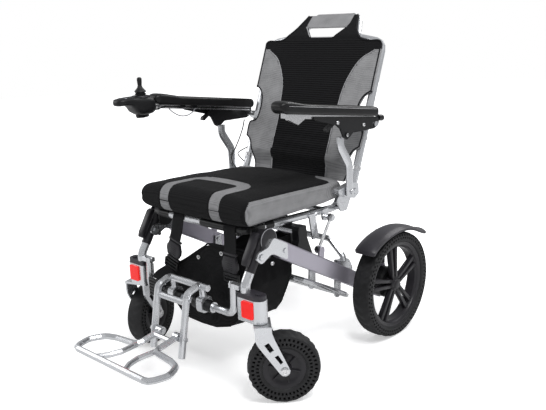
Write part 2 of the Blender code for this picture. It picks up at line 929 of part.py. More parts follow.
def front_cross_tube(parent):
    path = [
        (CROSS_END_X, CROSS_Y + 0.004, CROSS_END_Z),
        (CROSS_END_X, CROSS_Y, CROSS_Z),
        (-CROSS_END_X, CROSS_Y, CROSS_Z),
        (-CROSS_END_X, CROSS_Y + 0.004, CROSS_END_Z),
    ]
    tube = sweep(rounded_path(path, 0.022, 3), CROSS_RADIUS, 10)
    thing = piece("front_cross_tube", tube, SILVER, parent)
    for side in (1, -1):
        bracket = [(-0.339, 0.2900), (-0.339, 0.3025), (-0.321, 0.3025), (-0.321, 0.2900)]
        face = LEG_X - LEG_RADIUS - GAP
        add(
            thing,
            disc("X", (CROSS_Y, CROSS_Z), SLEEVE_RADIUS, SLEEVE_IN * side, SLEEVE_OUT * side, 12),
            slab(bracket, "X", 0.1585 * side, face * side),
            bolt("X", (-0.329, 0.298), 0.1595 * side, -0.004 * side, 0.007),
        )
    return thing


def housing_outline(side, inset=0.0):
    """Plan of the caster housing: a flat front and a round head about the steering axis."""
    points = [
        (HOUSING_INNER_X + inset, HOUSING_FRONT_Y + inset),
        (STEER_X, HOUSING_FRONT_Y + inset),
    ]
    points += arc((STEER_X, STEER_Y), HOUSING_HEAD - inset, -75, 75, 5)
    points += [
        (STEER_X - 0.006, HOUSING_REAR_Y - inset),
        (HOUSING_INNER_X + inset, HOUSING_REAR_Y - inset),
    ]
    points = rounded_path(points, 0.004, 2, closed=True)
    return [(p[0] * side, p[1]) for p in points]


def caster_housing(name, side, parent):
    outline = housing_outline(side)
    thing = piece(name, slab(outline, "Z", HOUSING_BOTTOM, HOUSING_TOP), SILVER, parent)
    socket = ring_cut("Z", (LEG_X * side, LEG_FOOT_Y), LEG_RADIUS + GAP, LEG_FOOT_Z - GAP, 0.30, 16)
    bore = ring_cut("Z", (STEER_X * side, STEER_Y), STEM_RADIUS + RUNNING, 0.20, STEM_TOP + 0.0005)
    cut(thing, socket, bore)
    return thing


def housing_cap(name, side, parent):
    base = HOUSING_TOP + GAP
    outline = housing_outline(side, 0.0015)
    thing = piece(name, slab(outline, "Z", base, base + CAP_HEIGHT), DARK, parent)
    add(thing, disc("Z", (STEER_X * side, STEER_Y), 0.009, base + 0.005, base + CAP_HEIGHT + 0.004, 12))
    cut(thing, ring_cut("Z", (LEG_X * side, LEG_FOOT_Y), LEG_RADIUS + GAP, 0.26, 0.32, 16))
    return thing


def reflector(name, side, parent):
    outline = [(0.2085, 0.2260), (0.2465, 0.2260), (0.2465, 0.2700), (0.2085, 0.2700)]
    outline = rounded_path(outline, 0.004, 2, closed=True)
    outline = [(p[0] * side, p[1]) for p in outline]
    front = HOUSING_FRONT_Y - GAP
    return piece(name, slab(outline, "Y", front - 0.004, front), RED, parent)


def footrest_frame(parent):
    thing = None
    for side in (1, -1):
        path = [
            (FOOT_TUBE_X, CROSS_Y - 0.002, CROSS_Z + SLEEVE_RADIUS + 0.002),
            (FOOT_TUBE_X, CROSS_Y - 0.004, FOOT_TOP_Z),
            (FOOT_TUBE_X, FOOT_FRONT_Y, FOOT_FRONT_Z),
            (FOOT_TUBE_X, FOOT_END_Y, FOOT_END_Z),
        ]
        path = rounded_path(mirrored(path, side), 0.016, 3)
        tube = sweep(path, FOOT_TUBE_RADIUS, 10)
        if thing is None:
            thing = piece("footrest_frame", tube, SILVER, parent)
        else:
            add(thing, tube)
    add(thing, rod((-0.058, -0.347, 0.274), (0.090, -0.347, 0.274), 0.009, 10))
    add(thing, rod((-0.058, -0.3945, 0.240), (0.058, -0.3945, 0.240), 0.0085, 10))
    for side in (1, -1):
        x = FOOT_TUBE_X * side
        clamp = [(-0.3545, 0.2000), (-0.3545, 0.2420), (-0.3165, 0.2420), (-0.3165, 0.2000)]
        clamp = rounded_path(clamp, 0.010, 2, closed=True)
        y = foot_hinge_y()
        add(
            thing,
            slab(clamp, "X", x - 0.011, x + 0.011),
            rod((0.0215 * side, y, FOOT_HINGE_Z), (0.060 * side, y, FOOT_HINGE_Z), 0.004),
            bolt("X", (y, FOOT_HINGE_Z), 0.0242 * side, -0.0035 * side, 0.007),
            bolt("X", (y, FOOT_HINGE_Z), 0.0660 * side, 0.0045 * side, 0.007),
        )
        cut(thing, ring_cut("X", (CROSS_Y, CROSS_Z), SLEEVE_RADIUS + GAP, x - 0.02, x + 0.02, 16))
    return thing


def foot_hinge_y():
    """Where the foot tube's centre line passes the footplate hinge height."""
    share = (FOOT_FRONT_Z - FOOT_HINGE_Z) / (FOOT_FRONT_Z - FOOT_END_Z)
    return FOOT_FRONT_Y + (FOOT_END_Y - FOOT_FRONT_Y) * share


def footplate(parent):
    y = foot_hinge_y()
    half = [
        (PLATE_ARM_X, y, FOOT_HINGE_Z),
        (PLATE_ARM_X, -0.490, PLATE_Z),
        (0.112, -0.500, PLATE_Z),
        (0.146, -0.512, PLATE_Z),
        (0.167, -0.552, PLATE_Z),
        (0.151, -0.603, PLATE_Z),
    ]
    path = mirrored(half, -1) + half[::-1]
    radii = [0, 0.018, 0.03, 0.03, 0.035, 0.022, 0.022, 0.035, 0.03, 0.03, 0.018, 0]
    thing = piece("footplate", sweep(rounded_path(path, radii, 2), PLATE_RADIUS, 8), SILVER, parent)
    add(thing, rod((-PLATE_ARM_X, -0.436, 0.1445), (PLATE_ARM_X, -0.436, 0.1445), 0.007))
    for side in (1, -1):
        brace = [
            (0.036, -0.492, PLATE_Z),
            (0.033, -0.543, PLATE_Z),
            (0.042, -0.575, PLATE_Z),
            (0.060, -0.602, PLATE_Z),
        ]
        eye = disc("X", (y, FOOT_HINGE_Z), 0.011, 0.0248 * side, 0.0440 * side, 12)
        add(thing, sweep(mirrored(brace, side), 0.0075, 8), eye)
        cut(thing, ring_cut("X", (y, FOOT_HINGE_Z), 0.004 + RUNNING, 0.02 * side, 0.05 * side))
    return thing


# Casters, drawn with the steering axis at the origin and the trail along +X


def fork_leg(half, side):
    """Side plate of the fork, from the crown down to the round axle end."""
    end = arc((TRAIL, CASTER_RADIUS), FORK_END, 215, 395, 6)
    top = CROWN_TOP - 0.0012
    front = [(0.0320, 0.1790), (0.0264, 0.1950), (FORK_REACH - 0.0005, top)]
    rear = [(0.0006 - FORK_HEEL, top), (-0.0154, 0.1760), (-0.0090, 0.1620)]
    return slab(end + front + rear, "Y", (half - FORK_WALL) * side, half * side)


def caster_fork(name, angle, origin, parent):
    """Fork bent from sheet, with two windows in each side plate."""
    half = CASTER_HALF + FORK_GAP + FORK_WALL
    wide = half - 0.0002
    corners = [(-FORK_HEEL, -wide), (FORK_REACH, -wide), (FORK_REACH, wide), (-FORK_HEEL, wide)]
    base = CROWN_TOP - CROWN_THICK
    thing = piece(name, turned(slab(corners, "Z", base, CROWN_TOP), angle, origin), SILVER, parent)
    add(thing, turned(disc("Z", (0, 0), STEM_RADIUS, base + 0.002, STEM_TOP, 12), angle, origin))
    for side in (1, -1):
        add(thing, turned(fork_leg(half, side), angle, origin))
    upper = [(0.0055, 0.1660), (0.0170, 0.1720), (0.0290, 0.1515), (0.0190, 0.1450)]
    lower = [(0.0300, 0.1335), (0.0391, 0.1380), (0.0510, 0.1175), (0.0443, 0.1125)]
    windows = [slab(w, "Y", -half - 0.01, half + 0.01) for w in (upper, lower)]
    bore = ring_cut("Y", (TRAIL, CASTER_RADIUS), CASTER_AXLE + GAP, -half - 0.01, half + 0.01)
    cut(thing, turned(gather(*windows), angle, origin), turned(bore, angle, origin))
    return thing


def caster_rim(name, angle, origin, parent):
    """Closed disc wheel with a dished face, its axle and the two end caps."""
    outer = CASTER_RADIUS - CASTER_TYRE_DEPTH - GAP
    half = CASTER_HALF * 0.80
    end = CASTER_HALF + FORK_GAP + FORK_WALL
    side_face = [
        (-end - 0.005, 0),
        (-end - 0.005, 0.008),
        (-end - 0.0035, 0.0105),
        (-end - 0.0006, 0.0105),
        (-end - 0.0006, CASTER_AXLE),
        (-CASTER_HALF - 0.001, CASTER_AXLE),
        (-CASTER_HALF - 0.001, 0.014),
        (-half + 0.005, 0.019),
        (-half + 0.006, 0.036),
        (-half, 0.045),
        (-half, outer),
    ]
    profile = side_face + [(-y, r) for y, r in side_face[::-1]]
    shape = lathe(profile, (TRAIL, CASTER_RADIUS), CASTER_STEPS, "Y")
    return piece(name, turned(shape, angle, origin), DARK, parent)


def caster_tyre(name, angle, origin, parent):
    profile = tyre_profile(0, CASTER_HALF, CASTER_RADIUS, CASTER_TYRE_DEPTH, 1)
    shape = lathe(profile, (TRAIL, CASTER_RADIUS), CASTER_STEPS, "Y")
    return piece(name, turned(shape, angle, origin), RUBBER, parent)


# Seat


def seat_frame(parent):
    half = [
        (SEAT_TUBE_X, 0.112, 0.452),
        (SEAT_TUBE_X, 0.088, SEAT_REAR_Z - 0.003),
        (SEAT_TUBE_X, SEAT_REAR_Y, SEAT_REAR_Z),
        (SEAT_TUBE_X, SEAT_FRONT_Y, SEAT_FRONT_Z),
    ]
    path = half + mirrored(half, -1)[::-1]
    radii = [0, 0.03, 0.02, 0.014, 0.014, 0.02, 0.03, 0]
    thing = piece("seat_frame", sweep(rounded_path(path, radii, 3), SEAT_TUBE_RADIUS, 10), SILVER, parent)
    add(thing, rod((-SEAT_TUBE_X, -0.200, 0.4215), (SEAT_TUBE_X, -0.200, 0.4215), 0.008))
    add(thing, rod((-SEAT_TUBE_X, 0.040, 0.4105), (SEAT_TUBE_X, 0.040, 0.4105), 0.008))
    for side in (1, -1):
        front = flat_end((-0.251, 0.402), 0.025, (-0.251, 0.4335), 0.025, 8)
        rear = flat_end((LINK_TOP_Y, LINK_TOP_Z), 0.013, (LINK_TOP_Y, 0.420), 0.013)
        strap = [(-0.050, 0.418), (-0.024, 0.418), (-0.010, 0.345), (-0.036, 0.345)]
        hinge = [(0.070, 0.404), (0.052, 0.440), (0.084, 0.474)]
        hinge += [(0.118, 0.476), (0.126, 0.452), (0.098, 0.402)]
        hinge = rounded_path(hinge, 0.008, 3, closed=True)
        add(
            thing,
            slab(front, "X", SEAT_PLATE_IN * side, SEAT_PLATE_OUT * side),
            slab(rear, "X", SEAT_PLATE_IN * side, SEAT_PLATE_OUT * side),
            slab(strap, "X", SEAT_PLATE_IN * side, 0.1850 * side),
            pin_x(SEAT_PIVOT_Y, SEAT_PIVOT_Z, 0.183, 0.2185, side),
            pin_x(LINK_TOP_Y, LINK_TOP_Z, 0.183, 0.2125, side),
            bolt("X", (LINK_TOP_Y, LINK_TOP_Z), 0.2104 * side, BOLT_THICK * side),
            slab(hinge, "X", HINGE_PLATE_IN * side, HINGE_PLATE_OUT * side),
            rod((0.172 * side, 0.079, 0.413), (0.199 * side, 0.079, 0.413), 0.007),
            rod((0.172 * side, 0.108, 0.444), (0.199 * side, 0.108, 0.444), 0.007),
            pin_x(HINGE_Y, HINGE_Z, 0.200, 0.2285, side),
            bolt("X", (HINGE_Y, HINGE_Z), 0.2262 * side, BOLT_THICK * side, 0.0095),
        )
    return thing


def pin_x(y, z, low, high, side, radius=PIN_RADIUS):
    return rod((low * side, y, z), (high * side, y, z), radius, 8)


def seat_cushion(parent):
    points = [
        (-CUSHION_HALF, CUSHION_FRONT_Y),
        (CUSHION_HALF, CUSHION_FRONT_Y),
        (CUSHION_HALF, 0.0),
        (0.190, CUSHION_REAR_Y),
        (-0.190, CUSHION_REAR_Y),
        (-CUSHION_HALF, 0.0),
    ]
    outline = rounded_path(points, 0.018, 3, closed=True)
    bm = slab(outline, "Z", CUSHION_BOTTOM, CUSHION_TOP)
    slope = CUSHION_DROP / (CUSHION_REAR_Y - CUSHION_FRONT_Y)
    for vert in bm.verts:
        if vert.co.z > (CUSHION_BOTTOM + CUSHION_TOP) / 2:
            vert.co.z -= (vert.co.y - CUSHION_FRONT_Y) * slope
    thing = piece("seat_cushion", bm, BLACK, parent)
    soften(thing, 0.011, 3)
    return thing


def link_rod(name, side, parent):
    foot = (LINK_FOOT_Y, LINK_FOOT_Z)
    top = (LINK_TOP_Y, LINK_TOP_Z)
    thing = piece(name, disc("X", foot, LINK_EYE, LINK_IN * side, LINK_OUT * side, 12), SILVER, parent)
    middle = (LINK_IN + LINK_OUT) / 2 * side
    bar = rod((middle, *foot), (middle, *top), 0.0045, 8)
    add(thing, bar, disc("X", top, LINK_EYE, LINK_IN * side, LINK_OUT * side, 12))
    cut(
        thing,
        ring_cut("X", foot, PIN_RADIUS + RUNNING, 0.19 * side, 0.22 * side),
        ring_cut("X", top, PIN_RADIUS + LINK_SLACK, 0.19 * side, 0.22 * side),
    )
    return thing


def bag_straps(parent):
    """Webbing straps that loop round the seat's front bar, joined by a band behind it."""
    loop = SEAT_TUBE_RADIUS + GAP + STRAP_THICK
    rear = SEAT_FRONT_Y + SEAT_TUBE_RADIUS + GAP
    band = box((-0.090, rear, 0.4190), (0.150, rear + STRAP_THICK, 0.4350))
    thing = piece("bag_straps", band, BLACK, parent)
    front = SEAT_FRONT_Y - loop
    right = [(-0.092, 0.426), (-0.044, 0.426), (-0.086, 0.268), (-0.134, 0.268)]
    left = [(0.108, 0.426), (0.154, 0.426), (0.154, 0.300), (0.106, 0.300)]
    bar = (SEAT_FRONT_Y, SEAT_FRONT_Z)
    add(
        thing,
        disc("X", bar, loop, -0.0905, -0.0455, 16),
        disc("X", bar, loop, 0.1085, 0.1535, 16),
        slab(right, "Y", front, front + STRAP_THICK),
        slab(left, "Y", front, front + STRAP_THICK),
        box((-0.124, front - 0.005, 0.305), (-0.060, front + 0.005, 0.355)),
        box((0.100, front - 0.005, 0.308), (0.157, front + 0.005, 0.356)),
    )
    top = SEAT_FRONT_Z + SEAT_TUBE_RADIUS - EMBED
    cut(
        thing,
        ring_cut("X", bar, SEAT_TUBE_RADIUS + GAP, -0.140, 0.145 + 0.02),
        box((-0.2, -0.35, top), (0.2, -0.25, 0.50)),
    )
    return thing


# Back


def back_frame(parent):
    half = [
        (BACK_TUBE_X, 0, 0),
        (BACK_TUBE_X, 0, SHOULDER_RISE),
        (0.116, 0.002, 0.450),
        (HANDLE_HALF, HANDLE_LEAN, HANDLE_RISE),
    ]
    path = half + mirrored(half, -1)[::-1]
    radii = [0, 0.03, 0.03, 0.022, 0.022, 0.03, 0.03, 0]
    tube = reclined(sweep(rounded_path(path, radii, 3), BACK_TUBE_RADIUS, 10))
    thing = piece("back_frame", tube, SILVER, parent)
    cluster = [
        (0.030, 0.466),
        (0.030, 0.478),
        (0.060, 0.480),
        (0.100, 0.486),
        (0.122, 0.480),
        (0.124, 0.450),
        (0.104, 0.440),
        (0.070, 0.448),
    ]
    cluster = rounded_path(cluster, 0.007, 3, closed=True)
    lug = flat_end((ARM_PIVOT_Y, ARM_PIVOT_Z), 0.012, (ARM_PIVOT_Y + 0.012, ARM_PIVOT_Z - 0.004), 0.012)
    for side in (1, -1):
        add(
            thing,
            slab(cluster, "X", 0.2036 * side, 0.2256 * side),
            slab(lug, "X", 0.2080 * side, 0.2285 * side),
            pin_x(ARM_PIVOT_Y, ARM_PIVOT_Z, 0.226, 0.2550, side),
            bolt("X", (ARM_PIVOT_Y, ARM_PIVOT_Z), (ARM_PLATE_OUT + 0.0006) * side, BOLT_THICK * side),
        )
        cut(thing, ring_cut("X", (HINGE_Y, HINGE_Z), PIN_RADIUS + RUNNING, 0.19 * side, 0.23 * side))
    return thing


def back_cover(parent):
    """Upholstery in front of the back tubes, cut away where the armrests join."""
    wide = BACK_TUBE_X + BACK_TUBE_RADIUS - 0.0005
    half = [
        (0.150, PANEL_FOOT),
        (0.184, PANEL_FOOT + 0.004),
        (0.190, 0.080),
        (0.205, 0.112),
        (wide, 0.126),
        (wide, 0.166),
        (0.198, 0.175),
        (0.188, 0.200),
        (0.188, 0.240),
        (0.200, 0.270),
        (wide, 0.288),
        (wide, 0.408),
        (wide - 0.004, 0.4325),
        (0.184, 0.4315),
        (0.158, 0.4350),
        (0.140, 0.4440),
    ]
    outline = half + mirrored(half, -1)[::-1]
    panel_back = -(BACK_TUBE_RADIUS + GAP)
    panel = slab(outline, "Y", panel_back - PANEL_THICK, panel_back)
    thing = piece("back_cover", reclined(panel), BLACK, parent)
    soften(thing, 0.003)
    add(thing, cover_middle(), cover_yoke(panel_back), cover_flap())
    window = [(-0.045, 0.4450), (0.045, 0.4450), (0.076, 0.4790), (-0.076, 0.4790)]
    cut(thing, leaned(slab(window, "Y", panel_back - 0.05, 0.08)))
    return thing


def cover_middle():
    """Padded middle of the upholstery, between the two side tubes."""
    edge = BACK_TUBE_X - BACK_TUBE_RADIUS - 0.0008
    half = [
        (0.171, COVER_FOOT + 0.002),
        (0.180, 0.110),
        (0.180, 0.290),
        (edge, 0.330),
        (edge, 0.375),
        (0.184, 0.405),
        (0.150, 0.418),
    ]
    outline = half + mirrored(half, -1)[::-1]
    front = -BACK_TUBE_RADIUS - 0.0012
    return reclined(slab(outline, "Y", front, COVER_THICK / 2))


def leaned(bm):
    """Lean a shape back from the shoulders to the push handle, then recline it."""
    lean = HANDLE_LEAN / (HANDLE_RISE - LEAN_FROM)
    for vert in bm.verts:
        vert.co.y += (vert.co.z - LEAN_FROM) * lean
    return reclined(bm)


def cover_yoke(panel_back):
    """Ears of the upholstery that rise to the push handle and the band across it."""
    half = [
        (0.152, 0.428),
        (0.134, 0.446),
        (0.118, 0.470),
        (0.108, 0.500),
        (0.094, 0.524),
    ]
    outline = half + mirrored(half, -1)[::-1]
    back = panel_back - 0.0015
    return leaned(slab(outline, "Y", back - PANEL_THICK * 0.8, back))


def cover_flap():
    """Cloth tail of the upholstery behind the rear of the cushion."""
    wide = 0.176
    flap = [(-wide, FLAP_FOOT), (wide, FLAP_FOOT), (wide, COVER_FOOT + 0.02), (-wide, COVER_FOOT + 0.02)]
    rear = COVER_THICK / 2 - 0.0005
    return reclined(slab(flap, "Y", rear - FLAP_THICK, rear))


# Armrests


def arm_rail(name, side, parent):
    front = RAIL_FRONT_Y
    rear = PAD_REAR_Y - 0.011
    outline = [
        (front, pad_bottom(front) - GAP),
        (rear, pad_bottom(rear) - GAP),
        (rear, pad_bottom(rear) - RAIL_HEIGHT),
        (front, pad_bottom(front) - RAIL_HEIGHT),
    ]
    low, high = (ARM_X - RAIL_HALF) * side, (ARM_X + RAIL_HALF) * side
    thing = piece(name, slab(outline, "X", low, high), SILVER, parent)
    if side > 0:
        gusset = [(-0.188, 0.7045), (-0.188, 0.698), (-0.153, 0.682), (-0.127, 0.694)]
        add(thing, slab(gusset, "X", 0.233, 0.245))
        cut(thing, rod(knob_point(0.130), knob_point(0.180), KNOB_ROD + RUNNING))
    else:
        start, end = mount_line()
        add(thing, rod(start, end, MOUNT_ROD))
    return thing


def knob_point(y):
    """A point on the axis of the locking knob's rod."""
    return (ARM_X, y, pad_bottom(y) - RAIL_HEIGHT / 2 - GAP / 2)


def mount_line():
    """Ends of the rod that carries the controller."""
    start = RAIL_FRONT_Y + 0.010
    end = -0.246
    drop = RAIL_HEIGHT / 2
    return (CONTROL_X, start, pad_bottom(start) - drop), (CONTROL_X, end, pad_bottom(end) - drop)


def arm_bracket(name, side, parent):
    outline = [
        (-0.102, 0.6965),
        (-0.102, 0.688),
        (-0.012, 0.664),
        (0.006, 0.652),
        (0.020, 0.626),
        (0.034, 0.6185),
        (0.050, 0.626),
        (0.062, 0.634),
        (0.160, 0.633),
        (0.180, 0.640),
        (0.184, 0.652),
        (0.178, 0.664),
    ]
    outline = rounded_path(outline, 0.006, 2, closed=True)
    thing = piece(name, slab(outline, "X", ARM_PLATE_IN * side, ARM_PLATE_OUT * side), SILVER, parent)
    add(
        thing,
        rod(((ARM_PLATE_IN + 0.001) * side, LEVER_Y, LEVER_Z), (0.2325 * side, LEVER_Y, LEVER_Z), 0.003),
        bolt("X", (0.034, 0.632), (ARM_PLATE_OUT - 0.001) * side, 0.004 * side, 0.007),
    )
    cut(thing, ring_cut("X", (ARM_PIVOT_Y, ARM_PIVOT_Z), PIN_RADIUS + RUNNING, 0.24 * side, 0.26 * side))
    return thing


def arm_pad(name, side, parent):
    top = PAD_THICK
    front, rear = PAD_FRONT_Y, PAD_REAR_Y
    outline = [
        (front, pad_bottom(front) + 0.001),
        (rear - 0.004, pad_bottom(rear - 0.004)),
        (rear, pad_bottom(rear) + top - 0.003),
        (-0.150, pad_bottom(-0.150) + top + 0.0015),
        (-0.198, pad_bottom(-0.198) + top + 0.004),
        (front + 0.004, pad_bottom(front) + top - 0.002),
        (front - 0.001, pad_bottom(front) + top / 2),
    ]
    low, high = (ARM_X - PAD_HALF) * side, (ARM_X + PAD_HALF) * side
    thing = piece(name, slab(outline, "X", low, high), BLACK, parent)
    soften(thing, 0.005)
    inner = (ARM_X - PAD_HALF - 0.01) * side
    notch = (BACK_TUBE_X + BACK_TUBE_RADIUS + 0.0012) * side
    corners = sorted((inner, notch))
    cut(thing, box((corners[0], 0.074, 0.60), (corners[1], 0.20, 0.80)))
    return thing


def arm_post(name, side, parent):
    path = [
        (POST_X, 0.031, 0.626),
        (POST_X, 0.031, 0.600),
        (POST_X, 0.069, 0.546),
        (POST_X, POST_FOOT_Y, POST_FOOT_Z - 0.008),
    ]
    tube = sweep(rounded_path(mirrored(path, side), 0.03, 3), POST_RADIUS, 12, POST_BROAD)
    thing = piece(name, tube, SILVER, parent)
    add(thing, bolt("X", (POST_FOOT_Y, POST_FOOT_Z + 0.002), (POST_X + 0.006) * side, 0.006 * side, 0.0065))
    return thing


def arm_lever(name, side, parent):
    outline = [
        (-0.044, 0.6505),
        (-0.040, 0.6590),
        (-0.018, 0.6690),
        (-0.012, 0.6760),
        (-0.004, 0.6755),
        (-0.002, 0.6670),
        (-0.016, 0.6600),
        (-0.036, 0.6480),
    ]
    outline = rounded_path(outline, 0.002, 2, closed=True)
    thing = piece(name, slab(outline, "X", 0.2340 * side, 0.2450 * side), BLACK, parent)
    cut(thing, ring_cut("X", (LEVER_Y, LEVER_Z), 0.003 + RUNNING, 0.22 * side, 0.26 * side))
    return thing


def lock_knob(parent):
    thing = piece("lock_knob", rod(knob_point(0.140), knob_point(0.210), KNOB_ROD, 12), BLACK, parent)
    add(thing, rod(knob_point(0.198), knob_point(0.218), 0.009, 14))
    return thing


# Controller


def joystick_housing(parent):
    outline = [
        (-0.349, 0.726),
        (-0.346, 0.7385),
        (-0.300, CONTROL_TOP),
        (-0.234, CONTROL_TOP - 0.001),
        (-0.2285, 0.737),
        (-0.2285, 0.696),
        (-0.298, 0.703),
        (-0.304, 0.720),
    ]
    outline = rounded_path(outline, 0.004, 2, closed=True)
    low, high = CONTROL_X - CONTROL_HALF, CONTROL_X + CONTROL_HALF
    thing = piece("joystick_housing", slab(outline, "X", low, high), BLACK, parent)
    soften(thing, 0.003)
    start, end = mount_line()
    tip = Vector(end) + (Vector(end) - Vector(start)).normalized() * GAP
    add(thing, box((CONTROL_X - 0.012, -0.240, 0.688), (CONTROL_X + 0.012, -0.280, 0.705)))
    cavity = ring_cut("Z", (CONTROL_X, STICK_Y), BOOT_RADIUS + 0.0006, 0.7215, 0.76, 20)
    cut(thing, cavity, rod(start, tip, MOUNT_ROD + GAP))
    for offset in (-BUTTON_SPREAD, BUTTON_SPREAD):
        hole = ring_cut("Z", (CONTROL_X + offset, BUTTON_Y), BUTTON_RADIUS + RUNNING, 0.7325, 0.76)
        cut(thing, hole)
    return thing


def joystick_gimbal(parent):
    """Ring that rocks in the housing on two pins and carries the stick's cross pin."""
    half = 0.0025
    ring = [
        (STICK_PIVOT_Z - half, GIMBAL_HOLE),
        (STICK_PIVOT_Z - half, GIMBAL_RADIUS),
        (STICK_PIVOT_Z + half, GIMBAL_RADIUS),
        (STICK_PIVOT_Z + half, GIMBAL_HOLE),
    ]
    thing = piece("joystick_gimbal", lathe(ring, (CONTROL_X, STICK_Y), 14, "Z"), DARK, parent)
    centre = (STICK_Y, STICK_PIVOT_Z)
    for way in (1, -1):
        start = CONTROL_X + (GIMBAL_HOLE + 0.002) * way
        end = CONTROL_X + (BOOT_RADIUS + 0.0006) * way
        add(thing, rod((start, *centre), (end, *centre), GIMBAL_PIN))
    across = (CONTROL_X, STICK_PIVOT_Z)
    cut(thing, ring_cut("Y", across, GIMBAL_PIN + RUNNING, STICK_Y - 0.02, STICK_Y + 0.02, 8))
    return thing


def joystick_stick(parent):
    profile = [
        (STICK_PIVOT_Z - 0.005, 0),
        (STICK_PIVOT_Z - 0.005, STICK_RADIUS),
        (0.7600, STICK_RADIUS),
        (0.7640, 0.0055),
        (0.7720, 0.0065),
        (0.7800, 0.0090),
        (0.7880, 0.0120),
        (0.7930, 0.0105),
        (STICK_TOP, 0.0060),
        (STICK_TOP + 0.0005, 0),
    ]
    thing = piece("joystick_stick", lathe(profile, (CONTROL_X, STICK_Y), 14, "Z"), BLACK, parent)
    reach = GIMBAL_RADIUS - 0.001
    start = (CONTROL_X, STICK_Y - reach, STICK_PIVOT_Z)
    end = (CONTROL_X, STICK_Y + reach, STICK_PIVOT_Z)
    add(thing, rod(start, end, GIMBAL_PIN))
    return thing


def joystick_boot(parent):
    """A round cap about the stick's pivot, so that it slides in the opening as the stick tilts."""
    hole = STICK_RADIUS + GAP
    inner = BOOT_RADIUS - BOOT_WALL
    outside = []
    for step in range(6):
        angle = math.radians(BOOT_EDGE) * (1 - step / 6) + 0.02
        outside.append((STICK_PIVOT_Z + BOOT_RADIUS * math.cos(angle), BOOT_RADIUS * math.sin(angle)))
    collar = [(STICK_PIVOT_Z + BOOT_RADIUS + 0.004, 0.0060), (STICK_PIVOT_Z + BOOT_RADIUS + 0.0055, hole)]
    inside = []
    for step in range(5):
        angle = math.asin(hole / inner) + (math.radians(BOOT_EDGE) - math.asin(hole / inner)) * step / 4
        inside.append((STICK_PIVOT_Z + inner * math.cos(angle), inner * math.sin(angle)))
    shape = lathe(outside + collar + inside, (CONTROL_X, STICK_Y), 20, "Z")
    return piece("joystick_boot", shape, RUBBER, parent)


def control_button(name, offset, parent):
    profile = [
        (0.7325 + BUTTON_TRAVEL + 0.0005, 0),
        (0.7325 + BUTTON_TRAVEL + 0.0005, BUTTON_RADIUS),
        (0.7440, BUTTON_RADIUS),
        (0.7450, BUTTON_RADIUS - 0.0012),
        (0.7450, 0),
    ]
    return piece(name, lathe(profile, (CONTROL_X + offset, BUTTON_Y), 12, "Z"), GREY, parent)


def controller_cable(parent):
    """Cable from the controller along the inner side of the right armrest rail."""
    x = -(BACK_TUBE_X + BACK_TUBE_RADIUS + CABLE_RADIUS + 0.0003)
    path = [(x, -0.2275, 0.706)]
    y = -0.215
    path.append((x, y, 0.7045))
    while y < 0.150:
        y += 0.025
        path.append((x, y, pad_bottom(y) - RAIL_HEIGHT / 2))
    return piece("controller_cable", sweep(path, CABLE_RADIUS, 6), BLACK, parent)


# Assembly


def caster(side_name, side, bearing, fold):
    origin = (STEER_X * side, STEER_Y, 0)
    swivel = pivot(f"pivot_swivel_{side_name}", (STEER_X * side, STEER_Y, CROWN_TOP), fold)
    centre = (
        origin[0] + TRAIL * math.cos(bearing),
        origin[1] + TRAIL * math.sin(bearing),
        CASTER_RADIUS,
    )
    roll = pivot(f"pivot_caster_{side_name}", centre, swivel)
    caster_fork(f"caster_fork_{side_name}", bearing, origin, swivel)
    caster_rim(f"caster_rim_{side_name}", bearing, origin, roll)
    caster_tyre(f"caster_tyre_{side_name}", bearing, origin, roll)


def build_side(side_name, side, bearing, chassis, fold, seat):
    side_beam(f"side_beam_{side_name}", side, chassis)
    beam_hinge(f"beam_hinge_{side_name}", side, chassis)
    drive_motor(f"drive_motor_{side_name}", side, chassis)
    fender(f"fender_{side_name}", side, chassis)
    seat_support(f"seat_support_{side_name}", side, chassis)
    wheel = pivot(f"pivot_drive_{side_name}", (DRIVE_X * side, AXLE_Y, DRIVE_RADIUS), chassis)
    drive_tyre(f"drive_tyre_{side_name}", side, wheel)
    drive_rim(f"drive_rim_{side_name}", side, wheel)
    front_leg(f"front_leg_{side_name}", side, fold)
    caster_housing(f"caster_housing_{side_name}", side, fold)
    housing_cap(f"housing_cap_{side_name}", side, fold)
    reflector(f"reflector_{side_name}", side, fold)
    caster(side_name, side, bearing, fold)
    link = pivot(f"pivot_link_{side_name}", (BEAM_X * side, LINK_FOOT_Y, LINK_FOOT_Z), chassis)
    link_rod(f"link_rod_{side_name}", side, link)


def build_arm(side_name, side, back):
    arm_post(f"arm_post_{side_name}", side, back)
    arm = pivot(f"pivot_arm_{side_name}", (ARM_X * side, ARM_PIVOT_Y, ARM_PIVOT_Z), back)
    arm_rail(f"arm_rail_{side_name}", side, arm)
    arm_bracket(f"arm_bracket_{side_name}", side, arm)
    arm_pad(f"arm_pad_{side_name}", side, arm)
    lever = pivot(f"pivot_lever_{side_name}", (ARM_X * side, LEVER_Y, LEVER_Z), arm)
    arm_lever(f"arm_lever_{side_name}", side, lever)
    return arm


def build_controller(arm):
    joystick_housing(arm)
    controller_cable(arm)
    centre = (CONTROL_X, STICK_Y, STICK_PIVOT_Z)
    gimbal = pivot("pivot_gimbal", centre, arm)
    joystick_gimbal(gimbal)
    stick = pivot("pivot_stick", centre, gimbal)
    joystick_stick(stick)
    joystick_boot(stick)
    for name, offset in (("power_button", -BUTTON_SPREAD), ("speed_button", BUTTON_SPREAD)):
        button = pivot(f"pivot_{name}", (CONTROL_X + offset, BUTTON_Y, CONTROL_TOP), arm)
        control_button(name, offset, button)


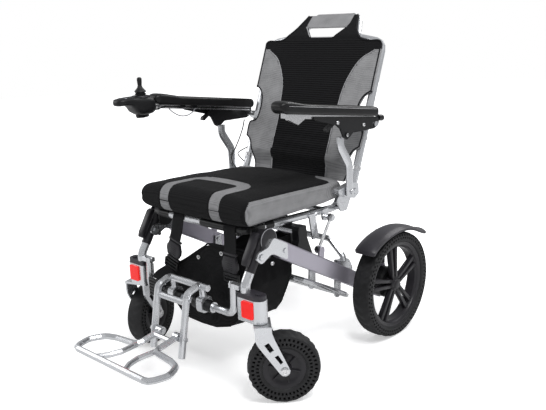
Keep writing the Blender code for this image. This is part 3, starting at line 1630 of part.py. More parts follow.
def build():
    clear_scene()
    chassis = pivot("chassis", (0, 0, 0))
    rear_hoop(chassis)
    lower_carrier(chassis)
    storage_bag(chassis)
    battery_pack(chassis)
    fold = pivot("pivot_fold", (0, FOLD_Y, FOLD_Z), chassis)
    front_cross_tube(fold)
    footrest_frame(fold)
    plate = pivot("pivot_footplate", (0, foot_hinge_y(), FOOT_HINGE_Z), fold)
    footplate(plate)
    seat = pivot("pivot_seat", (0, SEAT_PIVOT_Y, SEAT_PIVOT_Z), fold)
    seat_frame(seat)
    seat_cushion(seat)
    bag_straps(seat)
    build_side("l", 1, CASTER_BEARING_L, chassis, fold, seat)
    build_side("r", -1, CASTER_BEARING_R, chassis, fold, seat)
    back = pivot("pivot_back", (0, HINGE_Y, HINGE_Z), seat)
    back_frame(back)
    back_cover(back)
    left = build_arm("l", 1, back)
    right = build_arm("r", -1, back)
    knob = pivot("pivot_knob", knob_point(0.208), left)
    lock_knob(knob)
    build_controller(right)
    chassis.location = (-FOOTPRINT_MID[0], -FOOTPRINT_MID[1], 0)


build()
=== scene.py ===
"""Dressed scene of a folding power wheelchair, in metres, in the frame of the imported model."""
import math

import bmesh
import bpy
from mathutils import Matrix, Vector, noise


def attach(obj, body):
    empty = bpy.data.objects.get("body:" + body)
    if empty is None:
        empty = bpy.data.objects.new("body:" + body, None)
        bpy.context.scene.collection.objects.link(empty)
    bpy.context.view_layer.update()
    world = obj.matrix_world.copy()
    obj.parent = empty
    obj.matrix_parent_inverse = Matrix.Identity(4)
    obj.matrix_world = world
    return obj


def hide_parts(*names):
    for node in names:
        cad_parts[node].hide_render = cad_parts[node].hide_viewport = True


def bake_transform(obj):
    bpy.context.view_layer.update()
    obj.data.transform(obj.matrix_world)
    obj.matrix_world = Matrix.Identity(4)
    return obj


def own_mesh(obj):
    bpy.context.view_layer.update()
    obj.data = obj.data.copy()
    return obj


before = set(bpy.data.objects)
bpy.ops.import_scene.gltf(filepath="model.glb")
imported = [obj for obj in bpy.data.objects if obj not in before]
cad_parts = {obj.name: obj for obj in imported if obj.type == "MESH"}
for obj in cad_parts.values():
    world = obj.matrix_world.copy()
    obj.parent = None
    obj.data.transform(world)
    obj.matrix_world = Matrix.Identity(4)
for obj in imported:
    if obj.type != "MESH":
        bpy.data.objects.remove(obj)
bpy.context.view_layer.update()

# The chair's own mid-plane and hinge, in the frame
MID = Vector((-0.025, 0.115, 0.0))
RECLINE = math.radians(21.2)
BACK_FOOT = Vector((0, 0.106, 0.460))

# Camera of the photograph
CAMERA_PLACE = Vector((1.41252, -1.50171, 0.93480))
CAMERA_RIGHT = Vector((0.73543, 0.67660, -0.03678))
CAMERA_AHEAD = Vector((-0.66270, 0.70688, -0.24728))
CAMERA_LENS = 47.58

# Cushion
SEAT_HALF = 0.2065
SEAT_FRONT = -0.321
SEAT_REAR = 0.083
SEAT_LOW = 0.4392
SEAT_TOP = 0.5120
SEAT_DROP = 0.016
SEAT_CROWN = 0.012
STRIPE_HALF = 0.0185
STRIPE_LOW, STRIPE_SNAP, SEAM_DEEP = 0.446, 0.0022, 0.0016

# Back upholstery
BACK_FRONT = 0.0200
BACK_SAG = 0.007

# Wheels
DRIVE_X, AXLE_Y, DRIVE_RADIUS = 0.270, 0.222, 0.160
CASTER_RADIUS, CASTER_TRAIL = 0.093, 0.0544
STEER_X, STEER_Y = 0.248, -0.3215
BEARINGS = {"l": math.radians(47.0), "r": math.radians(107.0)}
SIDES = {"l": 1, "r": -1}

# Tubes and armrest, each place over (y, z) or (x, y)
BAR_Y, BAR_Z, BAR = -0.287, 0.427, 0.011
CROSS_TUBE = (-0.335, 0.219)
LEG_HEAD = (-0.2525, 0.405)
ARM_X = 0.239
STICK_PLACE = (-ARM_X, -0.264)


# Camera, floor and light


def add_camera():
    data = bpy.data.cameras.new("camera")
    data.lens = CAMERA_LENS
    data.sensor_width = 36.0
    camera = bpy.data.objects.new("camera", data)
    bpy.context.collection.objects.link(camera)
    up = CAMERA_RIGHT.cross(CAMERA_AHEAD)
    rows = Matrix((CAMERA_RIGHT, up, -CAMERA_AHEAD)).transposed()
    camera.matrix_world = Matrix.Translation(CAMERA_PLACE + MID) @ rows.to_4x4()
    bpy.context.scene.camera = camera
    bpy.context.scene.view_settings.view_transform = "Standard"


def add_light(name, place, target, size, power):
    data = bpy.data.lights.new(name, "AREA")
    data.shape = "DISK"
    data.size = size
    data.energy = power
    light = bpy.data.objects.new(name, data)
    bpy.context.collection.objects.link(light)
    light.location = place
    aim = Vector(target) - Vector(place)
    light.rotation_euler = aim.to_track_quat("-Z", "Y").to_euler()


def add_studio():
    world = bpy.data.worlds.new("studio")
    bpy.context.scene.world = world
    world.use_nodes = True
    tree = world.node_tree
    tree.nodes.clear()
    seen = node(tree, "ShaderNodeBackground", Color=(1, 1, 1, 1))
    soft = node(tree, "ShaderNodeBackground", Color=(0.97, 0.98, 1, 1), Strength=0.50)
    rays = node(tree, "ShaderNodeLightPath").outputs
    mix, out = node(tree, "ShaderNodeMixShader"), node(tree, "ShaderNodeOutputWorld")
    either = product(tree, rays["Is Camera Ray"], rays["Is Transmission Ray"], "MAXIMUM")
    for number, source in enumerate((either, soft.outputs[0], seen.outputs[0])):
        tree.links.new(source, mix.inputs[number])
    tree.links.new(mix.outputs[0], out.inputs[0])
    add_light("key_light", (1.5, -0.6, 2.6), (0, 0, 0.4), 1.0, 44)
    add_light("fill_light", (-2.4, -1.4, 1.6), (0, 0, 0.4), 1.6, 20)
    add_light("rim_light", (0.3, 2.4, 2.4), (0, 0, 0.5), 1.4, 30)


def add_floor():
    bm = bmesh.new()
    bmesh.ops.create_circle(bm, cap_ends=True, radius=9.0, segments=64)
    mesh = bpy.data.meshes.new("floor")
    bm.to_mesh(mesh)
    bm.free()
    floor = bpy.data.objects.new("floor", mesh)
    bpy.context.collection.objects.link(floor)
    look = bpy.data.materials.new("floor")
    look.use_nodes = True
    tree = look.node_tree
    shader = tree.nodes["Principled BSDF"]
    shader.inputs["Base Color"].default_value = (0.93, 0.93, 0.93, 1)
    shader.inputs["Roughness"].default_value = 0.9
    reach = node(tree, "ShaderNodeVectorMath", operation="LENGTH")
    tree.links.new(node(tree, "ShaderNodeTexCoord").outputs["Object"], reach.inputs[0])
    span = {"From Min": 0.5, "From Max": 1.6, "To Min": 0.42, "To Max": 1.0}
    fade = node(tree, "ShaderNodeMapRange", **span)
    tree.links.new(reach.outputs["Value"], fade.inputs["Value"])
    rays = node(tree, "ShaderNodeLightPath").outputs
    glow, add = node(tree, "ShaderNodeEmission"), node(tree, "ShaderNodeAddShader")
    tree.links.new(product(tree, rays["Is Camera Ray"], fade.outputs["Result"]), glow.inputs["Strength"])
    tree.links.new(shader.outputs[0], add.inputs[0])
    tree.links.new(glow.outputs[0], add.inputs[1])
    tree.links.new(add.outputs[0], tree.nodes["Material Output"].inputs["Surface"])
    mesh.materials.append(look)


# Materials


def node(tree, kind, **values):
    made = tree.nodes.new(kind)
    for key, value in values.items():
        if key in made.inputs:
            made.inputs[key].default_value = value
        else:
            setattr(made, key, value)
    return made


def shader_base(name, roughness, metallic=0.0, coat=0.0, sheen=0.0):
    look = bpy.data.materials.new(name)
    look.use_nodes = True
    shader = look.node_tree.nodes["Principled BSDF"]
    shader.inputs["Roughness"].default_value = roughness
    shader.inputs["Metallic"].default_value = metallic
    shader.inputs["Coat Weight"].default_value = coat
    shader.inputs["Sheen Weight"].default_value = sheen
    shader.inputs["Specular IOR Level"].default_value = 0.12 if sheen else 0.32
    return look, look.node_tree, shader


def vary(tree, shader, source, tone, low, high, spread=(0.35, 0.65)):
    """Base colour that runs between a darker and a lighter share of a tone after a grey source."""
    ramp = node(tree, "ShaderNodeValToRGB")
    for element, place, share in zip(ramp.color_ramp.elements, spread, (low, high)):
        element.position = place
        element.color = (*[c * share for c in tone], 1)
    tree.links.new(source, ramp.inputs["Fac"])
    tree.links.new(ramp.outputs["Color"], shader.inputs["Base Color"])


def rough(tree, shader, source, low, high):
    spread = node(tree, "ShaderNodeMapRange", **{"To Min": low, "To Max": high})
    tree.links.new(source, spread.inputs["Value"])
    tree.links.new(spread.outputs["Result"], shader.inputs["Roughness"])


def relief(tree, shader, source, depth, strength=1.0, under=None):
    bump = node(tree, "ShaderNodeBump", Strength=strength, Distance=depth)
    tree.links.new(source, bump.inputs["Height"])
    if under:
        tree.links.new(under, bump.inputs["Normal"])
    tree.links.new(bump.outputs["Normal"], shader.inputs["Normal"])
    return bump.outputs["Normal"]


def place_of(tree, turn=(0, 0, 0)):
    coords = node(tree, "ShaderNodeTexCoord")
    mapping = node(tree, "ShaderNodeMapping")
    mapping.inputs["Rotation"].default_value = turn
    tree.links.new(coords.outputs["Object"], mapping.inputs["Vector"])
    return mapping.outputs["Vector"]


def grain(tree, scale, detail=4.0):
    made = node(tree, "ShaderNodeTexNoise", Scale=scale, Detail=detail)
    tree.links.new(place_of(tree), made.inputs["Vector"])
    return made.outputs["Fac"]


def waves(tree, scale, turn):
    made = node(tree, "ShaderNodeTexWave", Scale=scale, wave_profile="SIN", bands_direction="X")
    tree.links.new(place_of(tree, turn), made.inputs["Vector"])
    return made.outputs["Fac"]


def product(tree, one, two, kind="MULTIPLY"):
    made = node(tree, "ShaderNodeMath", operation=kind)
    tree.links.new(one, made.inputs[0])
    tree.links.new(two, made.inputs[1])
    return made.outputs[0]


def painted(name, tone, roughness, metallic):
    """Metallic lacquer with a fine fleck and slightly uneven gloss."""
    look, tree, shader = shader_base(name, roughness, metallic, coat=0.25)
    cloud = grain(tree, 14.0)
    fleck = grain(tree, 2600.0, 2.0)
    vary(tree, shader, product(tree, cloud, fleck, "ADD"), tone, 0.93, 1, (0.7, 1.25))
    rough(tree, shader, cloud, roughness - 0.07, roughness + 0.10)
    relief(tree, shader, fleck, 0.00012, 0.35)
    return look


def metal(name, tone, roughness=0.24):
    look, tree, shader = shader_base(name, roughness, 1.0)
    brushed = grain(tree, 420.0, 6.0)
    vary(tree, shader, brushed, tone, 0.86, 1)
    rough(tree, shader, brushed, roughness - 0.06, roughness + 0.14)
    relief(tree, shader, brushed, 0.0001, 0.3)
    return look


def plastic(name, tone, roughness=0.5, cell=900.0, depth=0.00025):
    """Moulded plastic with a fine spark-eroded grain."""
    look, tree, shader = shader_base(name, roughness)
    skin = grain(tree, cell, 3.0)
    cloud = grain(tree, 22.0)
    vary(tree, shader, cloud, tone, 0.82, 1.15)
    rough(tree, shader, cloud, roughness - 0.08, roughness + 0.10)
    relief(tree, shader, skin, depth, 0.5)
    return look


def rubber(name, tone, roughness):
    """Moulded rubber, lighter in random dusty patches."""
    look, tree, shader = shader_base(name, roughness)
    dust = grain(tree, 60.0, 6.0)
    skin = grain(tree, 1400.0, 2.0)
    vary(tree, shader, dust, tone, 1, 2.0, (0.4, 0.8))
    rough(tree, shader, dust, roughness - 0.1, roughness + 0.12)
    relief(tree, shader, skin, 0.0002, 0.5)
    return look


def woven(name, tone, thread, depth, turn=(0, 0, 0), twill=False):
    """Plain weave of threads `thread` metres apart, in the plane that `turn` faces."""
    look, tree, shader = shader_base(name, 0.85, sheen=0.03)
    scale = math.pi / (10 * thread)
    across = waves(tree, scale, turn)
    along = waves(tree, scale, (turn[0], turn[1], turn[2] + math.radians(45 if twill else 90)))
    weave = product(tree, across, along)
    cloud = grain(tree, 35.0, 5.0)
    vary(tree, shader, product(tree, weave, cloud, "ADD"), tone, 0.72, 1.25, (0.3, 1.2))
    rough(tree, shader, cloud, 0.77, 0.95)
    folds = relief(tree, shader, grain(tree, 26.0, 4.0), 0.0030, 0.30)
    relief(tree, shader, weave, depth, 0.8, folds)
    return look


def ribbed(name, tone, pitch, depth):
    """Open spacer mesh with raised bands across it."""
    look, tree, shader = shader_base(name, 0.9, sheen=0.03)
    bands = waves(tree, math.pi / (10 * pitch), (0, math.pi / 2, 0))
    holes = node(tree, "ShaderNodeTexVoronoi", Scale=620.0)
    tree.links.new(place_of(tree), holes.inputs["Vector"])
    body = product(tree, bands, holes.outputs["Distance"], "ADD")
    vary(tree, shader, body, tone, 0.60, 1.35, (0.2, 1.4))
    under = relief(tree, shader, bands, depth, 0.9)
    relief(tree, shader, holes.outputs["Distance"], 0.0006, 0.6, under)
    return look


def zoned(base, name, tone, zones, roughness=0.42):
    """Copy of a look that turns to dark plastic inside boxes given in the chair's coordinates."""
    look = base.copy()
    look.name = name
    tree = look.node_tree
    cover = node(tree, "ShaderNodeBsdfPrincipled", Roughness=roughness)
    cloud = grain(tree, 30.0)
    vary(tree, cover, cloud, tone, 0.8, 1.2)
    rough(tree, cover, cloud, roughness - 0.08, roughness + 0.08)
    inside = None
    for low, high in zones:
        middle = (Vector(low) + Vector(high)) / 2 + MID
        size = (Vector(high) - Vector(low)) / 2
        shift = node(tree, "ShaderNodeVectorMath", operation="SUBTRACT")
        shift.inputs[1].default_value = middle
        tree.links.new(place_of(tree), shift.inputs[0])
        far = node(tree, "ShaderNodeVectorMath", operation="ABSOLUTE")
        tree.links.new(shift.outputs[0], far.inputs[0])
        split = node(tree, "ShaderNodeSeparateXYZ")
        tree.links.new(far.outputs[0], split.inputs[0])
        both = None
        for axis in range(3):
            test = node(tree, "ShaderNodeMath", operation="LESS_THAN")
            test.inputs[1].default_value = size[axis]
            tree.links.new(split.outputs[axis], test.inputs[0])
            both = product(tree, both, test.outputs[0]) if both else test.outputs[0]
        inside = product(tree, inside, both, "MAXIMUM") if inside else both
    mix = node(tree, "ShaderNodeMixShader")
    tree.links.new(inside, mix.inputs[0])
    tree.links.new(tree.nodes["Principled BSDF"].outputs[0], mix.inputs[1])
    tree.links.new(cover.outputs[0], mix.inputs[2])
    tree.links.new(mix.outputs[0], tree.nodes["Material Output"].inputs["Surface"])
    return look


def prismatic(name, tone):
    """Red reflector moulded in small prisms, with a painted glow: it emits red light though it is no lamp."""
    look, tree, shader = shader_base(name, 0.30, coat=0.1)
    # Painted glow: a weak red emission that makes the reflector look brighter.
    shader.inputs["Emission Color"].default_value = (*tone, 1)
    shader.inputs["Emission Strength"].default_value = 0.28
    prisms = node(tree, "ShaderNodeTexVoronoi", Scale=300.0)
    tree.links.new(place_of(tree), prisms.inputs["Vector"])
    vary(tree, shader, prisms.outputs["Distance"], tone, 0.7, 1, (0.1, 0.6))
    relief(tree, shader, prisms.outputs["Distance"], 0.0008, 0.6)
    return look


SILVER = painted("silver_paint", (0.63, 0.64, 0.66), 0.24, 0.85)
LILAC = painted("lilac_silver", (0.42, 0.40, 0.46), 0.32, 0.75)
STEEL = metal("steel", (0.74, 0.74, 0.75))
BLACK = plastic("black_plastic", (0.0050, 0.0050, 0.0058), 0.40)
DARK = plastic("dark_plastic", (0.016, 0.015, 0.018), 0.34, 500.0)
SMOKE = plastic("smoke_plastic", (0.032, 0.030, 0.036), 0.38, 500.0)
GREY = plastic("grey_plastic", (0.26, 0.26, 0.28), 0.42)
# Red reflector with a painted red glow.
REFLECTOR = prismatic("red_reflector", (0.90, 0.006, 0.004))
TYRE = rubber("tyre_rubber", (0.0110, 0.0110, 0.0118), 0.62)
SOFT = rubber("soft_rubber", (0.0055, 0.0055, 0.0060), 0.50)
CLOTH = woven("black_cloth", (0.0060, 0.0060, 0.0068), 0.0016, 0.0006)
MESH = ribbed("ribbed_mesh", (0.0062, 0.0062, 0.0068), 0.0062, 0.0022)
SEAT_CLOTH = woven("seat_cloth", (0.0056, 0.0056, 0.0062), 0.0022, 0.0008)
PALE_CLOTH = woven("grey_cloth", (0.265, 0.265, 0.270), 0.0020, 0.0007)
SEAT_GREY = woven("seat_grey", (0.235, 0.235, 0.240), 0.0020, 0.0007)
WEBBING = woven("webbing", (0.010, 0.010, 0.011), 0.0024, 0.0010, (math.pi / 2, 0, 0), twill=True)
PIPING = woven("piping", (0.010, 0.010, 0.012), 0.0012, 0.0004)
# Pale piping look, also used for the painted highlight line on the arm pads.
PALE_PIPING_AND_HIGHLIGHT = woven("pale_piping", (0.33, 0.33, 0.34), 0.0012, 0.0004)
LEATHER = plastic("arm_leather", (0.0045, 0.0045, 0.0050), 0.40, 700.0, 0.0005)
SLOTS = {
    "painted_frame": SILVER,
    "bare_steel": STEEL,
    "black_plastic": BLACK,
    "dark_plastic": DARK,
    "grey_plastic": GREY,
    "red_reflector": REFLECTOR,
    "tyre_rubber": TYRE,
    "soft_rubber": SOFT,
    "black_fabric": CLOTH,
}


# Shapes


def arc(centre, radius, start, end, steps):
    points = []
    for step in range(steps + 1):
        angle = math.radians(start + (end - start) * step / steps)
        points.append((centre[0] + radius * math.cos(angle), centre[1] + radius * math.sin(angle)))
    return points


def outward(bm):
    bmesh.ops.recalc_face_normals(bm, faces=bm.faces)
    return bm


def slab(outline, axis, low, high):
    """Flat outline made solid between two places along an axis."""
    bm = bmesh.new()
    order = {"X": (2, 0, 1), "Y": (0, 2, 1), "Z": (0, 1, 2)}[axis]
    bottom, top = [], []
    for point in outline:
        for ring, level in ((bottom, low), (top, high)):
            values = (point[0], point[1], level)
            ring.append(bm.verts.new([values[i] for i in order]))
    bm.faces.new(bottom)
    bm.faces.new(top)
    for i in range(len(outline)):
        j = (i + 1) % len(outline)
        bm.faces.new((bottom[i], bottom[j], top[j], top[i]))
    return outward(bm)


def rounded(bm, width):
    """Round every sharp edge of a shape."""
    edges = [e for e in bm.edges if len(e.link_faces) == 2 and e.calc_face_angle(0) > 0.6]
    bmesh.ops.bevel(bm, geom=edges, offset=width, segments=2, profile=0.5, affect="EDGES", clamp_overlap=True)
    return bm


def box(low, high, width=0.0):
    outline = [(low[0], low[1]), (high[0], low[1]), (high[0], high[1]), (low[0], high[1])]
    bm = slab(outline, "Z", low[2], high[2])
    return rounded(bm, width) if width else bm


def lathe(profile, centre, steps, axis="X", closed=False):
    """Turned shape. A profile point is (place along the axis, radius)."""
    bm = bmesh.new()
    rings = []
    for step in range(steps):
        angle = 2 * math.pi * step / steps
        ring = []
        for along, radius in profile:
            one = centre[0] + radius * math.cos(angle)
            two = centre[1] + radius * math.sin(angle)
            spot = {"X": (along, one, two), "Y": (one, along, two), "Z": (one, two, along)}[axis]
            ring.append(bm.verts.new(spot))
        rings.append(ring)
    count = len(profile)
    for i, ring in enumerate(rings):
        after = rings[(i + 1) % steps]
        for j in range(count if closed else count - 1):
            k = (j + 1) % count
            bm.faces.new((ring[j], ring[k], after[k], after[j]))
    bmesh.ops.remove_doubles(bm, verts=bm.verts, dist=1e-6)
    return outward(bm)


def smooth_path(points, steps=6):
    """Points of a smooth curve through the given ones."""
    spots = [Vector(p) for p in points]
    spots = [2 * spots[0] - spots[1]] + spots + [2 * spots[-1] - spots[-2]]
    path = []
    for i in range(1, len(spots) - 2):
        a, b, c, d = spots[i - 1 : i + 3]
        for step in range(steps):
            t = step / steps
            path.append(
                0.5
                * (
                    2 * b
                    + (c - a) * t
                    + (2 * a - 5 * b + 4 * c - d) * t * t
                    + (3 * b - a - 3 * c + d) * t * t * t
                )
            )
    path.append(spots[-2])
    return path


def tube(path, radius, sides=8):
    """Round tube along a path."""
    path = [Vector(p) for p in path]
    last = len(path) - 1
    across = None
    rings = []
    for i, point in enumerate(path):
        ahead = (path[min(i + 1, last)] - path[max(i - 1, 0)]).normalized()
        if across is None:
            across = Vector((0, 0, 1) if abs(ahead.z) < 0.9 else (1, 0, 0)).cross(ahead)
        across = (across - ahead * across.dot(ahead)).normalized()
        other = ahead.cross(across)
        ring = []
        for k in range(sides):
            angle = 2 * math.pi * k / sides
            ring.append(point + across * (radius * math.cos(angle)) + other * (radius * math.sin(angle)))
        rings.append(ring)
    return loft(rings)


def ribbon(path, wide, thick, up):
    """Flat strap along a path; `up` is the way that its face looks."""
    path = [Vector(p) for p in path]
    rings = []
    for i, point in enumerate(path):
        ahead = (path[min(i + 1, len(path) - 1)] - path[max(i - 1, 0)]).normalized()
        face = Vector(up(i) if callable(up) else up)
        side = ahead.cross(face).normalized() * (wide / 2)
        rise = side.cross(ahead).normalized() * (thick / 2)
        rings.append([point + side + rise, point + side - rise, point - side - rise, point - side + rise])
    return loft(rings)


def loft(rings):
    """Closed solid through loops of equal count."""
    bm = bmesh.new()
    loops = [[bm.verts.new(p) for p in ring] for ring in rings]
    count = len(loops[0])
    for one, two in zip(loops, loops[1:]):
        for k in range(count):
            bm.faces.new((one[k], one[(k + 1) % count], two[(k + 1) % count], two[k]))
    for loop in (loops[0], loops[-1]):
        bm.faces.new(loop)
    return outward(bm)


def oval(count, power, wide=1.0, high=1.0):
    """Unit loop between a circle and a rounded box, evenly spaced once it is `wide` by `high`."""
    fine = []
    for k in range(6000):
        angle = 2 * math.pi * k / 6000
        c, s = math.cos(angle), math.sin(angle)
        fine.append(Vector((math.copysign(abs(c) ** power, c), math.copysign(abs(s) ** power, s))))
    steps = [math.hypot((q.x - p.x) * wide, (q.y - p.y) * high) for p, q in zip(fine, fine[1:] + fine[:1])]
    pitch = sum(steps) / count
    loop, run = [], 0.0
    for point, step in zip(fine, steps):
        if run >= len(loop) * pitch - 1e-9 and len(loop) < count:
            loop.append((point.x, point.y))
        run += step
    return loop


def mirrored(half):
    return half + [(-x, y) for x, y in half[::-1]]


def moved(bm, change):
    for vert in bm.verts:
        vert.co = change(vert.co)
    return bm


def reclined(bm):
    """Stand a shape drawn over (x, behind, rise) on the reclined back."""
    turn = Matrix.Rotation(-RECLINE, 3, "X")
    return moved(bm, lambda p: turn @ p + BACK_FOOT)


def turned(bm, side):
    """Put a shape drawn about the steering axis on a caster."""
    turn = Matrix.Rotation(BEARINGS[side], 3, "Z")
    origin = Vector((STEER_X * SIDES[side], STEER_Y, 0))
    return moved(bm, lambda p: turn @ p + origin)


def joined(*shapes):
    """One bmesh of several, keeping the material number of each."""
    whole = bmesh.new()
    for shape in shapes:
        mesh = bpy.data.meshes.new("part")
        shape.to_mesh(mesh)
        shape.free()
        whole.from_mesh(mesh)
        bpy.data.meshes.remove(mesh)
    return whole


def paint(bm, number):
    for face in bm.faces:
        face.material_index = number
    return bm


def piece(name, bm, looks, body, stands_for=()):
    """Make an object of a shape in the chair's own coordinates; it rides a body, if one is given."""
    for vert in bm.verts:
        vert.co += MID
    mesh = bpy.data.meshes.new(name)
    bm.to_mesh(mesh)
    bm.free()
    for look in looks if isinstance(looks, (list, tuple)) else (looks,):
        mesh.materials.append(look)
    mesh.shade_smooth()
    mesh.set_sharp_from_angle(angle=math.radians(38))
    thing = bpy.data.objects.new(name, mesh)
    bpy.context.collection.objects.link(thing)
    if body:
        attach(thing, body)
    if stands_for:
        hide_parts(*stands_for)
    return thing


def dressed(node_name, bm, looks, body, side=""):
    """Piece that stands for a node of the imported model, on one side of the chair if one is given."""
    tail = "_" + side if side else ""
    return piece(node_name + "_dressed" + tail, bm, looks, body, stands_for=(node_name + tail,))


def pad_bottom(y):
    return 0.667 + (0.176 - y) * 0.1285


def bolt(axis, centre, start, out, radius=0.0065):
    """Button-head screw with a hexagon socket."""
    height = 0.0038
    profile = [
        (0, 0),
        (0, radius),
        (height * 0.45, radius),
        (height * 0.85, radius * 0.80),
        (height, radius * 0.52),
        (height, radius * 0.46),
        (height * 0.35, radius * 0.44),
        (height * 0.35, 0),
    ]
    return lathe([(start + out * a, r) for a, r in profile], centre, 18, axis)


# Cords


def cable(name, points, radius, look, body, slot, fineness=4, with_pieces=(), stands_for=(), **facts):
    """A round cable along a smooth curve."""
    path = smooth_path(points, fineness)
    thing = piece(name, tube(path, radius, 10), look, body, stands_for=stands_for)


def cables():
    """Controller cable with its two connectors, the loop under it, and the wires behind the right armrest."""
    radius = 0.002
    x = -(0.2135 + 0.0115 + radius + 0.0003)
    path = [(x, -0.2275, 0.706), (x, -0.215, 0.7045)]
    y = -0.215
    while y < 0.150:
        y += 0.025
        path.append((x, y, pad_bottom(y) - 0.006))
    joints = []
    for place in (-0.127, -0.082):
        shape = [(-0.0125, 0.0), (-0.0115, 0.0024), (-0.0070, 0.0040), (0.0, 0.0034), (0.0070, 0.0040)]
        shape += [(0.0115, 0.0024), (0.0125, 0.0)]
        centre = (-0.2246, pad_bottom(place) - 0.006)
        joints.append(lathe([(place + a, r) for a, r in shape], centre, 20, "Y"))
    plugs = piece("cable_connectors", joined(*joints), BLACK, "arm_r")
    cable("controller_cable_dressed", path, radius, SOFT, "arm_r", "black_plastic", with_pieces=[plugs],
          stands_for=("controller_cable",), far_end="object", stiffness="medium", lay="taut")
    loop = [(-0.2236, -0.1780, 0.7000), (-0.2222, -0.1640, 0.6880), (-0.2222, -0.1400, 0.6760)]
    loop += [(-0.2222, -0.1130, 0.6740), (-0.2224, -0.0900, 0.6820), (-0.2236, -0.0760, 0.6940)]
    cable("cable_loop", loop, 0.0017, GREY, "arm_r", "grey_plastic",
          far_end="object", stiffness="medium", lay="loose")
    wire = [(-0.2272, 0.1280, 0.6320), (-0.2272, 0.1200, 0.6080), (-0.2262, 0.1040, 0.5800)]
    wire += [(-0.2236, 0.0780, 0.5460), (-0.2232, 0.0600, 0.5240), (-0.2200, 0.0620, 0.5000)]
    wire += [(-0.2165, 0.0760, 0.4820)]
    cable("arm_wire", wire, 0.0018, SOFT, "back", "black_plastic",
          far_end="object", stiffness="limp", lay="hanging")
    bight = [(-0.2262, 0.1420, 0.5420), (-0.2282, 0.1180, 0.5370), (-0.2292, 0.0940, 0.5270)]
    bight += [(-0.2282, 0.1100, 0.5060), (-0.2262, 0.1290, 0.4890)]
    cable("back_wire", bight, 0.0017, SOFT, "back", "black_plastic",
          far_end="object", stiffness="medium", lay="loose")


# Seat


STRIPE_LEG, STRIPE_BEND, STRIPE_REAR = 0.098, 0.036, -0.188


def stripe_line():
    """Middle line of the seat stripe: two legs joined by a rounded arch."""
    turn = arc((STRIPE_LEG - STRIPE_BEND, STRIPE_REAR - STRIPE_BEND), STRIPE_BEND, 0, 90, 6)
    half = [(STRIPE_LEG, SEAT_FRONT - 0.04)] + turn
    return mirrored(half)


STRIPE_LINE = stripe_line()


def line_distance(line, x, y):
    """Distance in the plane from a point to a polyline."""
    best = 1.0
    spot = Vector((x, y))
    for one, two in zip(line, line[1:]):
        a, b = Vector(one), Vector(two)
        share = max(0.0, min(1.0, (spot - a).dot(b - a) / (b - a).length_squared))
        best = min(best, (spot - a - (b - a) * share).length)
    return best


def seat_area(point, along):
    """Which cloth a point of the cushion is covered in: 0 black, 1 grey."""
    side = abs(point.x)
    before = (SEAT_FRONT + 0.040 - point.y) / 0.030
    if before > 0 and side > SEAT_HALF - 0.020 and before ** 2 + ((point.z - 0.474) / 0.034) ** 2 > 1:
        return 0
    if side > SEAT_HALF - 0.0095 - 0.016 * max(0.0, along - 0.80) / 0.20 and along > 0.030:
        return 1
    if point.z > 0.47 and side > 0.112 and along > 0.885 + 0.09 * max(0.0, (0.150 - side) / 0.038) ** 2:
        return 1
    on_stripe = line_distance(STRIPE_LINE, point.x, point.y) < STRIPE_HALF
    return 1 if point.z > STRIPE_LOW and on_stripe else 0


def seat_rings(length):
    """Sections of the cushion from its rolled front to its rear."""
    loop = oval(250, 0.26, 0.2, 0.036)
    nose, steps = 0.036, 130
    rings = []
    for i in range(steps + 1):
        along = 0.5 - 0.5 * math.cos(math.pi * i / steps)
        y = SEAT_FRONT + length * along
        front = min(1.0, (y - SEAT_FRONT) / nose)
        rear = min(1.0, (SEAT_REAR - y) / 0.020)
        roll = max(0.0, 1 - (1 - front) ** 2.3) ** (1 / 2.3)
        swell = max(0.02, roll * max(0.0, 1 - (1 - rear) ** 2) ** 0.25)
        top = SEAT_TOP - SEAT_DROP * along
        half_high = (top - SEAT_LOW) / 2
        middle = (top + SEAT_LOW) / 2
        wide = SEAT_HALF - 0.014 * max(0.0, along - 0.80) / 0.20 - 0.012 * (1 - roll)
        arch = math.sin(math.pi * min(1, 0.12 + 0.85 * along)) ** 0.5
        ring = []
        for c, s in loop:
            pull = 0.0030 * (1 - s * s) ** 2 * abs(c) ** 6
            z = middle + half_high * swell * s
            if s > 0:
                z += SEAT_CROWN * (1 - c * c) * s * swell * arch
            ring.append(((wide - pull) * c, y, z))
        rings.append(ring)
    return rings


def stripe_slope(x, y):
    """How fast the distance to the stripe's middle line grows along x and along y."""
    step = 1e-4
    slope_x = line_distance(STRIPE_LINE, x + step, y) - line_distance(STRIPE_LINE, x - step, y)
    slope_y = line_distance(STRIPE_LINE, x, y + step) - line_distance(STRIPE_LINE, x, y - step)
    return slope_x / (2 * step), slope_y / (2 * step)


def seat_cushion():
    """Crowned cushion with a rolled front, grey stripes, grey sides and sewn seams."""
    length = SEAT_REAR - SEAT_FRONT
    bm = loft(seat_rings(length))
    bm.normal_update()
    for vert in bm.verts:
        x, y = vert.co.x, vert.co.y
        miss = STRIPE_HALF - line_distance(STRIPE_LINE, x, y)
        if vert.co.z > STRIPE_LOW and abs(miss) < STRIPE_SNAP:
            slope_x, slope_y = stripe_slope(x, y)
            vert.co.x += miss * slope_x
            vert.co.y += miss * slope_y * (1 if vert.normal.z > 0.7 else 0)
    for face in bm.faces:
        spot = face.calc_center_median()
        face.material_index = seat_area(spot, (spot.y - SEAT_FRONT) / length)
    for vert in bm.verts:
        kinds = {f.material_index for f in vert.link_faces}
        if len(kinds) > 1:
            vert.co -= vert.normal * SEAM_DEEP
        elif vert.normal.z > 0.3:
            loose = max(0.0, min(1.0, (vert.co.y - SEAT_FRONT - 0.012) / 0.040))
            vert.co.z += loose * (0.0026 * noise.noise(vert.co * 11) + 0.0010 * noise.noise(vert.co * 31))
    thing = dressed("seat_cushion", bm, (SEAT_CLOTH, SEAT_GREY), "seat")
    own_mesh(thing)


# Back upholstery


